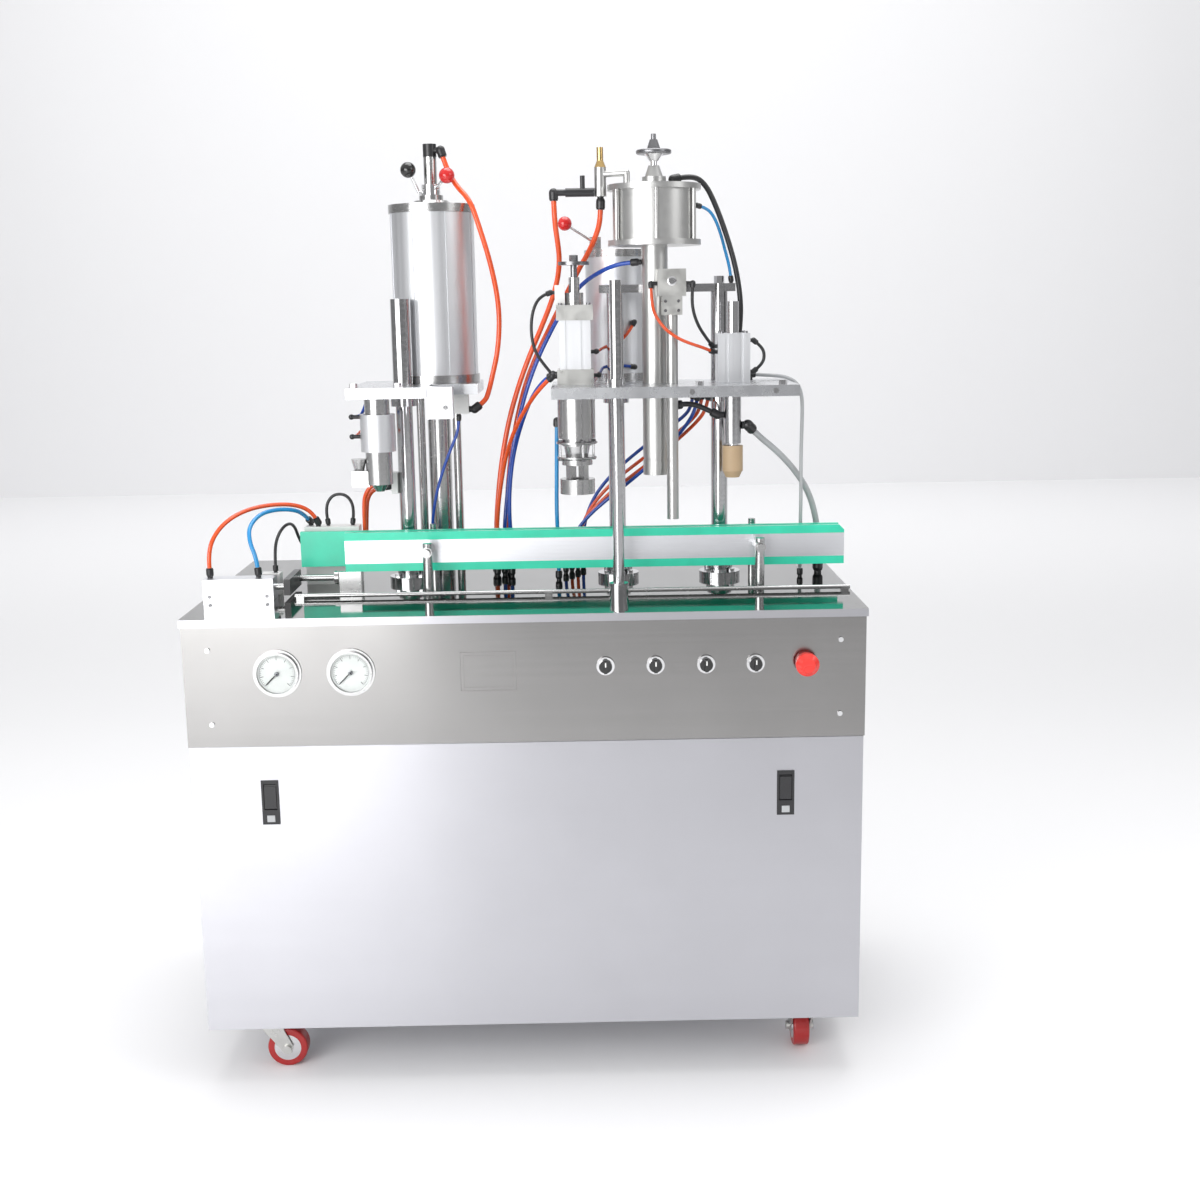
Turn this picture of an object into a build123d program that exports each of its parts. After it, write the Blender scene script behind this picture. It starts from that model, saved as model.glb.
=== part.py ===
from build123d import *

import os
from math import cos, pi, radians, sin, tan

# A free-standing piston filling machine for aerosol-type cans: a wheeled cabinet whose mirror-bright deck
# carries a can lane, a liquid dosing station, a crimping station, a propellant drum and a gas nozzle.
# Millimetres. X runs along the lane, Y from the operator to the back, Z up from the floor.

# ---- driving dimensions -------------------------------------------------------------------------------
cabinet_width = 1200.0
cabinet_depth = 630.0
base_height = 105.0  # floor to the underside of the cabinet, the height of a caster
seam_height = 644.0  # top of the lower body, bottom of the control fascia
deck_height = 875.0
lane_y = -35.0  # centre line of the can lane
plate_bottom = 1238.0
plate_thickness = 20.0

sheet = 2.0
deck_sheet = 3.0
deck_lip = 14.0
deck_overhang = 3.0
lower_inset = 2.0
frame_tube = 30.0
frame_wall = 2.0
angle_leg = 30.0
angle_wall = 3.0

gap = 0.3  # between faces of different bodies that only pass each other
running = 0.05  # radial clearance of shafts
seat = 0.3  # radial clearance of fixed pieces in their holes

half_width = cabinet_width / 2
half_depth = cabinet_depth / 2
front = -half_depth  # outer face of the fascia and of the lower front panel
lower_half_width = half_width - lower_inset
plate_top = plate_bottom + plate_thickness
under_deck = deck_height - deck_sheet

# ---- plain shapes -------------------------------------------------------------------------------------
os.makedirs("parts", exist_ok=True)


def block(x0, x1, y0, y1, z0, z1):
    """A box by its two corners."""
    return Pos((x0 + x1) / 2, (y0 + y1) / 2, (z0 + z1) / 2) * Box(x1 - x0, y1 - y0, z1 - z0)


def post(x, y, z0, z1, diameter, bore=0.0):
    """An upright round bar, or a tube where it has a bore."""
    shape = Pos(x, y, (z0 + z1) / 2) * Cylinder(diameter / 2, z1 - z0)
    if bore:
        shape -= Pos(x, y, (z0 + z1) / 2) * Cylinder(bore / 2, z1 - z0 + 2)
    return shape


def bar_x(x0, x1, y, z, diameter):
    """A round bar along X."""
    return Pos((x0 + x1) / 2, y, z) * Rot(0, 90, 0) * Cylinder(diameter / 2, x1 - x0)


def bar_y(x, y0, y1, z, diameter, bore=0.0):
    """A round bar or tube along Y."""
    shape = Pos(x, (y0 + y1) / 2, z) * Rot(90, 0, 0) * Cylinder(diameter / 2, y1 - y0)
    if bore:
        shape -= Pos(x, (y0 + y1) / 2, z) * Rot(90, 0, 0) * Cylinder(bore / 2, y1 - y0 + 2)
    return shape


def cone(x, y, z0, z1, d0, d1, bore=0.0):
    """An upright cone with diameter d0 at z0 and d1 at z1."""
    shape = Pos(x, y, (z0 + z1) / 2) * Cone(d0 / 2, d1 / 2, z1 - z0)
    if bore:
        shape -= Pos(x, y, (z0 + z1) / 2) * Cylinder(bore / 2, z1 - z0 + 2)
    return shape


def hexagon(x, y, z0, z1, across_flats):
    """An upright hexagonal bolt head or nut."""
    return Pos(x, y, z0) * extrude(RegularPolygon(across_flats / 2, 6, major_radius=False), z1 - z0)


def between(a, b, diameter):
    """A round bar from point a to point b."""
    start = Vector(*a)
    along = Vector(*b) - start
    plane = Plane(origin=start + along / 2, z_dir=along)
    return plane * Cylinder(diameter / 2, along.length)


def angle_bar(x0, x1, y0, y1, leg, z0, flange_z):
    """A bar of angle section in the given plan: an upright leg in its own plan and a flange over the whole."""
    return block(*leg, z0, z0 + angle_leg) + block(x0, x1, y0, y1, flange_z, flange_z + angle_wall)


def angle_ring(half_x, half_y, z0, flange_z):
    """Four welded angle bars: the long ones over the full width, the short ones between them."""
    bars = []
    for side in (-1, 1):
        y0, y1 = sorted((side * half_y, side * (half_y - angle_leg)))
        leg_y = sorted((side * half_y, side * (half_y - angle_wall)))
        bars.append(angle_bar(-half_x, half_x, y0, y1, (-half_x, half_x, *leg_y), z0, flange_z))
        x0, x1 = sorted((side * half_x, side * (half_x - angle_leg)))
        leg_x = sorted((side * half_x, side * (half_x - angle_wall)))
        inner_y = half_y - angle_leg
        bars.append(angle_bar(x0, x1, -inner_y, inner_y, (*leg_x, -inner_y, inner_y), z0, flange_z))
    return bars


def square_tube(x, y, z0, z1):
    """An upright square tube of the frame, open at both ends."""
    inner = frame_tube - 2 * frame_wall
    tube = Pos(x, y, (z0 + z1) / 2) * Box(frame_tube, frame_tube, z1 - z0)
    return tube - Pos(x, y, (z0 + z1) / 2) * Box(inner, inner, z1 - z0 + 2)


def save(name, *shapes):
    """Writes the separate solids of one node."""
    solids = [solid for shape in shapes for solid in shape.solids()]
    whole = solids[0] if len(solids) == 1 else Compound(children=solids)
    export_step(whole, f"parts/{name}.step")


# ---- cabinet frame and shells ---------------------------------------------------------------------------
lower_inner_x = lower_half_width - sheet
lower_inner_y = half_depth - lower_inset - sheet
upper_inner_x = half_width - sheet
upper_inner_y = half_depth - sheet
floor_top = base_height + sheet


def cabinet_frame():
    """Three rings of angle bars joined by square uprights at the four corners."""
    bottom = angle_ring(lower_inner_x, lower_inner_y, floor_top, floor_top)
    middle = angle_ring(lower_inner_x, lower_inner_y, seam_height - angle_leg, seam_height - angle_wall)
    top = angle_ring(upper_inner_x, upper_inner_y, under_deck - angle_leg, under_deck - angle_wall)
    pieces = [*bottom, *middle, *top]
    reach = angle_wall + frame_tube / 2
    for side in (-1, 1):
        for end in (-1, 1):
            x = side * (lower_inner_x - reach)
            y = end * (lower_inner_y - reach)
            pieces.append(square_tube(x, y, floor_top + angle_wall, seam_height - angle_wall))
            pieces.append(square_tube(x, y, seam_height, under_deck - angle_wall))
    return pieces


front_return = 38.0  # width of the shell's edge around the front opening
window_half_x = lower_half_width - front_return
window_z0 = base_height + front_return
window_z1 = seam_height - front_return
vent_length = 120.0
vent_height = 6.0
vent_pitch = 16.0
vent_rows = 6
vent_x = 330.0

port_z = 740.0
port_xs = {"air": -420.0, "liquid": -120.0, "gas": 180.0}
port_tail = 30.0  # reach of the rear ports behind the cabinet
port_body = 28.0
port_bore = 9.0


def lower_shell():
    """Welded sheets of the lower body: floor, slotted back, sides and the edge round its open front."""
    y_front = front + sheet
    y_back = half_depth - lower_inset
    back = block(-lower_half_width, lower_half_width, lower_inner_y, y_back, floor_top, seam_height)
    for side in (-1, 1):
        for row in range(vent_rows):
            z = window_z0 + 60 + row * vent_pitch
            x = side * vent_x
            back -= block(x - vent_length / 2, x + vent_length / 2, y_back - 3 * sheet, y_back + 1, z,
                          z + vent_height)
    sheets = [
        block(-lower_half_width, lower_half_width, y_front, y_back, base_height, floor_top),
        back,
        block(-window_half_x, window_half_x, y_front, -lower_inner_y, floor_top, window_z0),
        block(-window_half_x, window_half_x, y_front, -lower_inner_y, window_z1, seam_height),
    ]
    for side in (-1, 1):
        wall_x = sorted((side * lower_inner_x, side * lower_half_width))
        edge_x = sorted((side * window_half_x, side * lower_inner_x))
        sheets.append(block(*wall_x, y_front, lower_inner_y, floor_top, seam_height))
        sheets.append(block(*edge_x, y_front, -lower_inner_y, floor_top, seam_height))
    return sheets


def upper_housing():
    """Sides and back of the control section."""
    back = block(-half_width, half_width, upper_inner_y, half_depth, seam_height, under_deck)
    for x in port_xs.values():
        back -= bar_y(x, half_depth - 3 * sheet, half_depth + 1, port_z, port_body / 2 + 2 * seat)
    sheets = [back]
    for side in (-1, 1):
        wall_x = sorted((side * upper_inner_x, side * half_width))
        sheets.append(block(*wall_x, front + sheet, upper_inner_y, seam_height, under_deck))
    return sheets


def rear_ports():
    """Bulkhead fittings for compressed air, liquid and propellant: a hexagon and an open spigot each."""
    pieces = []
    for x in port_xs.values():
        body = bar_y(x, half_depth, half_depth + 10, port_z, port_body)
        body += bar_y(x, half_depth, half_depth + port_tail, port_z, port_body / 2 + 4)
        body += bar_y(x, half_depth - 20, half_depth + 1, port_z, port_body / 2)
        body -= bar_y(x, half_depth - 21, half_depth + port_tail + 1, port_z, port_bore)
        pieces.append(body)
    return pieces


# ---- front panel and its flush latches ------------------------------------------------------------------
latch_x = 460.0
latch_z = 541.0
latch_width = 31.0
latch_height = 82.0
latch_depth = 20.0
latch_rim = 2.0
paddle_width = 21.0
paddle_height = 46.0
paddle_thickness = 3.0
panel_return_depth = 15.0
panel_return_gap = 2.0


def front_panel():
    """A lift-off sheet with folded returns that drop inside the shell's edge."""
    x = lower_half_width
    panel = block(-x, x, front, front + sheet, base_height + 1, seam_height - 1)
    rx = window_half_x - panel_return_gap
    z0 = window_z0 + panel_return_gap
    z1 = window_z1 - panel_return_gap
    returns = block(-rx, rx, front + sheet, front + panel_return_depth, z0, z1)
    returns -= block(-rx + sheet, rx - sheet, front, front + panel_return_depth + 1, z0 + sheet, z1 - sheet)
    panel += returns
    for side in (-1, 1):
        width = latch_width - 4 + 2 * seat
        height = latch_height - 4 + 2 * seat
        panel -= Pos(side * latch_x, front, latch_z) * Box(width, 6 * sheet, height)
    return panel


paddle_z1 = latch_z + latch_height / 2 - 8
paddle_z0 = paddle_z1 - paddle_height
paddle_pin = 2.4


def latch_housing(x):
    """The cup of a push latch: a thin rim on the panel, a box behind it, a hinge pin and a release key."""
    w = latch_width / 2
    h = latch_height / 2
    cup = block(x - w, x + w, front - latch_rim, front, latch_z - h, latch_z + h)
    cup += block(x - w + 2, x + w - 2, front, front + latch_depth, latch_z - h + 2, latch_z + h - 2)
    pocket_x = paddle_width / 2 + 1
    cup -= block(x - pocket_x, x + pocket_x, front - latch_rim - 1, front + latch_depth - 3, paddle_z0 - 1,
                 paddle_z1 + 1)
    pin = bar_x(x - pocket_x, x + pocket_x, front + 4, paddle_z1 - 3, paddle_pin)
    key = block(x - 7, x + 7, front - latch_rim - 1.2, front - latch_rim, latch_z - h + 5, latch_z - h + 17)
    return [cup + pin, key]


def latch_paddle(x):
    """The pull-out tongue, hinged at its top on the housing's pin."""
    y0 = front - latch_rim + 0.5
    w = paddle_width / 2
    tongue = block(x - w, x + w, y0, y0 + paddle_thickness, paddle_z0 + 1, paddle_z1 - 3)
    eye = bar_x(x - w, x + w, front + 4, paddle_z1 - 3, 6.0)
    web = block(x - w, x + w, y0 + paddle_thickness, front + 4, paddle_z1 - 6, paddle_z1 - 3)
    tongue += eye + web
    return tongue - bar_x(x - w - 1, x + w + 1, front + 4, paddle_z1 - 3, paddle_pin + 2 * running)


# ---- control fascia, gauges and switches ------------------------------------------------------------------
gauge_z = 777.0
gauge_xs = (-435.0, -306.0)
gauge_flange = 85.0
gauge_ring = 76.0
gauge_glass = 70.0
gauge_body = 64.0
gauge_ring_height = 7.0
gauge_flange_thickness = 3.0
needle_length = 27.0

switch_z = 780.0
selector_xs = (141.0, 229.0, 318.0, 405.0)
stop_x = 494.0
switch_thread = 22.0
selector_ring = 32.0
selector_ring_height = 5.0
knob_diameter = 23.0
knob_shaft = 6.0
stop_ring = 36.0
stop_ring_height = 10.0
stop_head = 41.0
stop_travel = 4.0
stop_reach = 30.0
contact_block = 30.0
shaft_depth = 9.0


def control_fascia():
    """The front sheet of the control section with its round cut-outs."""
    sheet_front = block(-half_width, half_width, front, front + sheet, seam_height, under_deck)
    for x in gauge_xs:
        sheet_front -= bar_y(x, front - 1, front + sheet + 1, gauge_z, gauge_body + 4 * seat)
    for x in (*selector_xs, stop_x):
        sheet_front -= bar_y(x, front - 1, front + sheet + 1, switch_z, switch_thread + 2 * seat)
    return sheet_front


def gauge_case(x):
    """Flange, bezel ring, rear body, stem and dial disc with the needle's pin."""
    face = front - gauge_flange_thickness
    case = bar_y(x, face, front, gauge_z, gauge_flange)
    case += bar_y(x, face - gauge_ring_height, face, gauge_z, gauge_ring, gauge_glass)
    case += bar_y(x, front, front + 38, gauge_z, gauge_body)
    case += bar_y(x, front + 38, front + 52, gauge_z, 14.0)
    dial = bar_y(x, face - 1, face, gauge_z, gauge_glass - 2 * seat)
    dial += bar_y(x, face - 5, face - 1, gauge_z, 3.0)
    return [case, dial]


def gauge_lens(x):
    """The window disc inside the bezel, resting on the dial's pin."""
    face = front - gauge_flange_thickness
    return bar_y(x, face - 6.5, face - 5, gauge_z, gauge_glass - 2 * seat)


def gauge_needle(x):
    """A thin pointer at its zero, low on the left, with a bored hub."""
    face = front - gauge_flange_thickness
    hub = bar_y(x, face - 3.4, face - 2.4, gauge_z, 8.0)
    pointer = block(-1, 1, -0.5, 0.5, 0, needle_length)
    pointer = Pos(x, face - 2.9, gauge_z) * Rot(0, -135, 0) * pointer
    return (hub + pointer) - bar_y(x, face - 4, face - 2, gauge_z, 3.0 + 2 * running)


def switch_body(x, ring, ring_height, bore):
    """A panel ring, the threaded neck behind it and the contact block inside the cabinet."""
    body = bar_y(x, front - ring_height, front, switch_z, ring)
    body += bar_y(x, front, front + 12, switch_z, switch_thread)
    body += Pos(x, front + 26, switch_z) * Box(contact_block, 28, contact_block)
    return body - bar_y(x, front - ring_height - 1, front + shaft_depth, switch_z, bore)


def selector_knob(x):
    """A round knob with a raised grip bar, on a shaft in the switch body."""
    y0 = front - selector_ring_height - gap
    knob = bar_y(x, y0 - 6, y0, switch_z, knob_diameter)
    knob += block(x - 3, x + 3, y0 - 15, y0 - 6, switch_z - knob_diameter / 2 + 1, switch_z + knob_diameter / 2 - 1)
    return knob + bar_y(x, y0, front + shaft_depth - 1, switch_z, knob_shaft)


def stop_button():
    """The emergency stop's mushroom head, standing off its ring by the travel and a gap."""
    y_back = front - stop_ring_height - stop_travel - gap
    head = bar_y(stop_x, front - stop_reach + 7, y_back, switch_z, stop_head)
    head += Pos(stop_x, front - stop_reach + 3.5, switch_z) * Rot(90, 0, 0) * Cone(stop_head / 2, stop_head / 2 - 8, 7)
    return head + bar_y(stop_x, y_back, front + shaft_depth - stop_travel - 1, switch_z, 10.0)


# ---- casters ------------------------------------------------------------------------------------------
caster_side = 95.0  # swivel axis from the cabinet's side
caster_end = 75.0  # swivel axis from the front and the back
wheel_diameter = 75.0
wheel_tread = 30.0
hub_diameter = 50.0
axle_diameter = 10.0
trail = 37.0
race_diameter = 46.0
race_bottom = 94.0
fork_wall = 3.0
fork_gap = 34.0
kingpin = 10.0
# name: (X, Y, the way the wheel trails, in degrees from +X)
casters = {
    "front_left": (-half_width + caster_side, front + caster_end, 0.0),
    "front_right": (half_width - caster_side, front + caster_end, 90.0),
    "rear_left": (-half_width + caster_side, half_depth - caster_end, 0.0),
    "rear_right": (half_width - caster_side, half_depth - caster_end, 90.0),
}


def caster_plate(x, y):
    """The bolted top plate and the fixed half of the swivel race."""
    plate = block(x - 45, x + 45, y - 32, y + 32, base_height - 3, base_height)
    plate += post(x, y, race_bottom, base_height - 3, race_diameter)
    return plate - post(x, y, race_bottom - 1, base_height - 4, kingpin + 2 * running)


def caster_fork():
    """Crown, two legs, kingpin and axle, drawn round the swivel axis with the wheel trailing along +X."""
    crown_top = race_bottom - gap
    crown_bottom = crown_top - fork_wall
    half_gap = fork_gap / 2
    outer = half_gap + fork_wall
    wheel_z = wheel_diameter / 2
    fork = block(-20, 24, -outer, outer, crown_bottom, crown_top)
    fork += post(0, 0, crown_top, base_height - 5, kingpin)
    for side in (-1, 1):
        outline = Polyline((-20, crown_top), (24, crown_top), (trail + 11, wheel_z + 4), (trail + 8, wheel_z - 9),
                           (trail - 8, wheel_z - 9), (trail - 14, wheel_z + 2), close=True)
        leg = extrude(Plane.XZ * make_face(outline), fork_wall)
        y = outer if side > 0 else -half_gap
        fork += Pos(0, y, 0) * leg
    axle = bar_y(trail, -outer - 6, outer + 6, wheel_z, axle_diameter)
    nuts = [Pos(trail, side * (outer + 3), wheel_z) * Rot(90, 0, 0) * Cylinder(8, 6) for side in (-1, 1)]
    return fork + axle + nuts


def caster_wheel():
    """A polyurethane tread on a hub, in the same place as in the fork."""
    z = wheel_diameter / 2
    half = wheel_tread / 2
    tread = bar_y(trail, -half, half, z, wheel_diameter, hub_diameter)
    tread = fillet(tread.edges().filter_by(GeomType.CIRCLE).filter_by(
        lambda edge: edge.radius > wheel_diameter / 2 - 1), 4)
    hub = bar_y(trail, -half, half, z, hub_diameter)
    hub += bar_y(trail, -fork_gap / 2 + gap, fork_gap / 2 - gap, z, 22.0)
    hub -= bar_y(trail, -fork_gap, fork_gap, z, axle_diameter + 2 * running)
    return [tread, hub]


def placed(shapes, x, y, angle):
    """Shapes drawn round the swivel axis, turned and moved to their caster."""
    return [Pos(x, y, 0) * Rot(0, 0, angle) * shape for shape in shapes]


# ---- deck, columns and station plates -----------------------------------------------------------------
column_diameter = 32.0
tall_column_diameter = 21.0
columns = {"left": (-235.0, 36.0), "middle": (174.0, 36.0), "right": (373.0, 36.0)}
tall_column = (170.0, -165.0)
flange_diameter = 80.0
flange_height = 12.0
collar_height = 20.0
column_collar = column_diameter + 18.0
bolt_circle = 62.0
sleeve_diameter = 38.0
sleeve_top = 1420.0
tie_bar_z0 = 1425.0
tie_bar_z1 = 1440.0
tall_column_top = 1446.0

main_plate_x = (53.0, 498.0)
main_plate_y = (-185.0, 75.0)
plate_lug_x = (113.0, 249.0)
plate_lug_y = 195.0
left_plate_x = (-330.0, -181.0)
left_plate_y = (-75.0, 215.0)
left_lug_x = -92.0
bracket_y = (-70.0, -30.0)
bracket_x = (-181.0, -133.0)
bracket_drop = 39.0


def deck():
    """The folded top: a flat sheet with a lip that hangs outside the cabinet's walls."""
    x = half_width + deck_overhang
    y = half_depth + deck_overhang
    tray = block(-x, x, -y, y, deck_height - deck_lip, deck_height)
    inner = deck_overhang - 0.5
    return tray - block(-x + inner, x - inner, -y + inner, y - inner, deck_height - deck_lip - 1, under_deck)


def column_with_flange(x, y, top, diameter):
    """A column on the deck with its round bolted foot and collar."""
    foot = post(x, y, deck_height, deck_height + flange_height, flange_diameter, diameter + 2 * seat)
    collar = post(x, y, deck_height + flange_height, deck_height + flange_height + collar_height, diameter + 16,
                  diameter + 2 * seat)
    return [post(x, y, deck_height, top, diameter), foot + collar]


def column_pieces():
    """The three rear columns, the tall front column, the sleeve and the tie bar."""
    tops = {"left": plate_top, "middle": tie_bar_z1, "right": tie_bar_z1}
    pieces = []
    for name, (x, y) in columns.items():
        pieces += column_with_flange(x, y, tops[name], column_diameter)
        pieces.append(post(x, y, plate_bottom - collar_height, plate_bottom, column_collar,
                           column_diameter + 2 * seat))
    x, y = columns["left"]
    pieces.append(post(x, y, plate_top, sleeve_top, sleeve_diameter))
    x, y = tall_column
    pieces.append(post(x, y, deck_height, tall_column_top, tall_column_diameter))
    pieces.append(post(x, y, deck_height, deck_height + 26, tall_column_diameter + 14,
                       tall_column_diameter + 2 * seat))
    pieces.append(post(x, y, plate_top, plate_top + 14, tall_column_diameter + 11,
                       tall_column_diameter + 2 * seat))
    mid_x, mid_y = columns["middle"]
    right_x = columns["right"][0]
    reach = column_diameter / 2 + 14
    bar = block(mid_x - reach, right_x + reach, mid_y - 14, mid_y + 14, tie_bar_z0, tie_bar_z1)
    for column_x in (mid_x, right_x):
        bar -= post(column_x, mid_y, tie_bar_z0 - 1, tie_bar_z1 + 1, column_diameter + 2 * seat)
    halves = [bar]
    return pieces + halves


def main_plate():
    """The plate that carries the crimper, the drum and the gas station, on the columns."""
    plate = block(*main_plate_x, *main_plate_y, plate_bottom, plate_top)
    plate += block(*plate_lug_x, main_plate_y[1] - 1, plate_lug_y, plate_bottom, plate_top)
    for name in ("middle", "right"):
        plate -= post(*columns[name], plate_bottom - 1, plate_top + 1, column_diameter + 2 * seat)
    plate -= post(*tall_column, plate_bottom - 1, plate_top + 1, tall_column_diameter + 2 * seat)
    plate -= post(crimp_x, lane_y, plate_bottom - 1, plate_top + 1, crimp_rod + 2 * running)
    plate -= post(gas_x, lane_y, plate_bottom - 1, plate_top + 1, gas_tube + 2 * seat)
    plate -= post(pin_x, pin_y, plate_bottom - 1, plate_top + 1, pin_tube + 2 * seat)
    plate -= post(drum_x, lane_y, plate_bottom - 1, plate_top + 1, 20.0)
    return plate


def left_plate():
    """The plate of the liquid station, with its bolted end bracket."""
    plate = block(*left_plate_x, *left_plate_y, plate_bottom, plate_top)
    plate += block(left_plate_x[1] - 1, left_lug_x, columns["left"][1], left_plate_y[1], plate_bottom, plate_top)
    plate -= post(*columns["left"], plate_bottom - 1, plate_top + 1, column_diameter + 2 * seat)
    plate -= post(*dosing_axis, plate_bottom - 1, plate_top + 1, dosing_rod + 2 * running)
    bracket = block(*bracket_x, *bracket_y, plate_bottom - bracket_drop, plate_top)
    return [plate, bracket]


# ---- can lane -----------------------------------------------------------------------------------------
guide_right = half_width
front_guide_left = -345.0
rear_guide_left = -440.0
front_guide_y = (lane_y - 38.0, lane_y - 26.0)
rear_guide_y = (lane_y + 27.0, lane_y + 39.0)
guide_z0 = 914.0
guide_z1 = 988.0
rear_guide_z1 = 982.0
strip_height = 15.0
guide_chamfer = 9.0
bracket_xs = (-185.0, 435.0)
front_post_y = -115.0
rear_post_y = lane_y + 56.0
guide_post = 18.0
rear_guide_post = 14.0
guide_post_top = 972.0
clamp_z = 957.0
foot_x = (-358.0, -317.0)


def ribbed_bar(x0, x1, y0, y1, z0, z1):
    """The aluminium rail with shallow ribs along its front."""
    bar = block(x0, x1, y0, y1, z0, z1)
    rib_pitch = (z1 - z0) / 6
    for rib in range(1, 6):
        z = z0 + rib * rib_pitch
        bar -= block(x0 - 1, x1 + 1, y0 - 1, y0 + 1, z - 1.2, z + 1.2)
    return bar


def front_rail():
    """The aluminium middle of the front guide."""
    return ribbed_bar(front_guide_left, guide_right, *front_guide_y, guide_z0 + strip_height,
                      guide_z1 - strip_height)


def guide_strips():
    """Green low-friction strips: two on the front guide and the whole rear guide."""
    low = block(front_guide_left, guide_right, *front_guide_y, guide_z0, guide_z0 + strip_height)
    high = block(front_guide_left, guide_right, *front_guide_y, guide_z1 - strip_height, guide_z1)
    corner = high.edges().filter_by(Axis.Y).sort_by(lambda edge: edge.center().X + edge.center().Z)[-1]
    high = chamfer(corner, guide_chamfer)
    rear = block(rear_guide_left, guide_right, *rear_guide_y, guide_z0, rear_guide_z1)
    return [low, high, rear]


def guide_brackets():
    """Posts on the deck with cross pins that hold the guides, and the foot under the front guide's end."""
    pieces = [block(*foot_x, *front_guide_y, deck_height, guide_z0)]
    for x in bracket_xs:
        near = post(x, front_post_y, deck_height, guide_post_top, guide_post)
        clamp = bar_y(x, front_post_y - 17, front_guide_y[0], clamp_z, 20.0)
        knob = bar_y(x, front_post_y - 27, front_post_y - 17, clamp_z, 14.0)
        pieces.append(near + clamp + knob)
        back = post(x, rear_post_y, deck_height, rear_guide_z1 + 8, rear_guide_post)
        back += bar_y(x, rear_guide_y[1], rear_post_y + 12, clamp_z, 10.0)
        pieces.append(back)
    return pieces


low_rod_diameter = 8.0
low_rod_y = -142.0
low_rod_z = deck_height + 7.0
low_rod_x = (-430.0, half_width)
low_rod_feet = (-420.0, 40.0, 590.0)


def low_rod():
    """The thin stay rod along the deck, on three little feet."""
    rod = bar_x(*low_rod_x, low_rod_y, low_rod_z, low_rod_diameter)
    for x in low_rod_feet:
        rod += block(x - 7, x + 7, low_rod_y - 6, low_rod_y + 6, deck_height, low_rod_z)
    return rod


# ---- can pusher ---------------------------------------------------------------------------------------
pusher_x = (-600.0, -470.0)
pusher_y = (-142.0, -99.0)
pusher_height = 40.0
pusher_rod = 12.0
pusher_stroke = 70.0
push_z = deck_height + 22.0
yoke_x = (-452.0, -440.0)
yoke_y = (-134.0, lane_y + 16.0)


def pusher_body():
    """The pneumatic cylinder block on the deck."""
    y_mid = (pusher_y[0] + pusher_y[1]) / 2
    body = block(*pusher_x, *pusher_y, deck_height, deck_height + pusher_height)
    body -= bar_x(pusher_x[1] - pusher_stroke - 20, pusher_x[1] + 1, y_mid, push_z, pusher_rod + 2 * running)
    return body


def pusher_slide():
    """Piston rod, cross yoke and the push rod with its pad on the lane's centre line."""
    y_mid = (pusher_y[0] + pusher_y[1]) / 2
    yoke = block(*yoke_x, *yoke_y, push_z - 15, push_z + 15)
    yoke += bar_x(pusher_x[1] - pusher_stroke - 10, yoke_x[0], y_mid, push_z, pusher_rod)
    yoke += bar_x(yoke_x[1], -372, lane_y, push_z, pusher_rod)
    return yoke + bar_x(-372, -364, lane_y, push_z, 26.0)


# ---- liquid dosing station ------------------------------------------------------------------------------
dosing_axis = (-177.0, 126.0)
dosing_outer = 162.0
dosing_inner = 150.0
dosing_flange = 168.0
dosing_cap = 16.0
dosing_top = 1598.0
dosing_rod = 20.0
groove_width = 9.0
groove_depth = 2.0
standpipe = 25.0
standpipe_top = 1688.0
pipe_cap_top = 1712.0
metering_outer = 45.0
metering_inner = 36.0
guide_rod_diameter = 16.0
neck_top = 1616.0
lever_collar = 36.0
lever_collar_height = 9.0
ball_diameter = 30.0


def dosing_cylinder():
    """Bottom cap, grooved tube, top cap with its stepped neck, and the inlet standpipe."""
    x, y = dosing_axis
    tube_bottom = plate_top + dosing_cap
    tube_top = dosing_top - dosing_cap
    bottom = post(x, y, plate_top, tube_bottom, dosing_flange, dosing_rod + 2 * running)
    tube = post(x, y, tube_bottom, tube_top, dosing_outer, dosing_inner)
    for turn in (20, 70, 110, 160, 200, 250, 290, 340):
        radius = dosing_outer / 2
        groove = Box(2 * groove_depth, groove_width, tube_top - tube_bottom + 2)
        tube -= Pos(x, y, (tube_bottom + tube_top) / 2) * Rot(0, 0, turn) * Pos(radius, 0, 0) * groove
    top = post(x, y, tube_top, dosing_top, dosing_flange)
    top += cone(x, y, dosing_top, dosing_top + 8, 78.0, 64.0)
    top += post(x, y, dosing_top + 8, neck_top, 46.0)
    top += post(x, y, neck_top, standpipe_top, standpipe)
    return [bottom, tube, top]


def dosing_piston():
    """The piston in the big cylinder and its rod down into the metering tube."""
    x, y = dosing_axis
    floor = plate_top + dosing_cap + 2
    piston = post(x, y, floor, floor + 28, dosing_inner - 2 * gap)
    piston += post(x, y, plate_bottom - 150, floor, dosing_rod)
    piston += post(x, y, plate_bottom - 176, plate_bottom - 150, metering_inner - 2 * gap)
    return piston


def metering_tubes():
    """The metering tube under the plate and the two guide rods beside it, down to the deck."""
    x, y = dosing_axis
    tube = post(x, y, deck_height, plate_bottom, metering_outer, metering_inner)
    rods = [post(rod_x, y - 10, deck_height, plate_bottom, guide_rod_diameter) for rod_x in (x - 35, x + 36)]
    foot = post(x, y, deck_height, deck_height + 14, metering_inner - 2 * seat)
    return [tube, foot, *rods]


black_ball = (-219.0, 118.0, 1664.0)
red_ball = (-142.0, 84.0, 1650.0)


def ball_arm(root, ball, rod_diameter, grip_diameter):
    """A straight arm from its root to the middle of its ball grip."""
    along = Vector(*ball) - root
    plane = Plane(origin=root, z_dir=along)
    rod = plane * (Pos(0, 0, along.length / 2) * Cylinder(rod_diameter / 2, along.length))
    return rod + plane * (Pos(0, 0, along.length) * Sphere(grip_diameter / 2))


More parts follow.
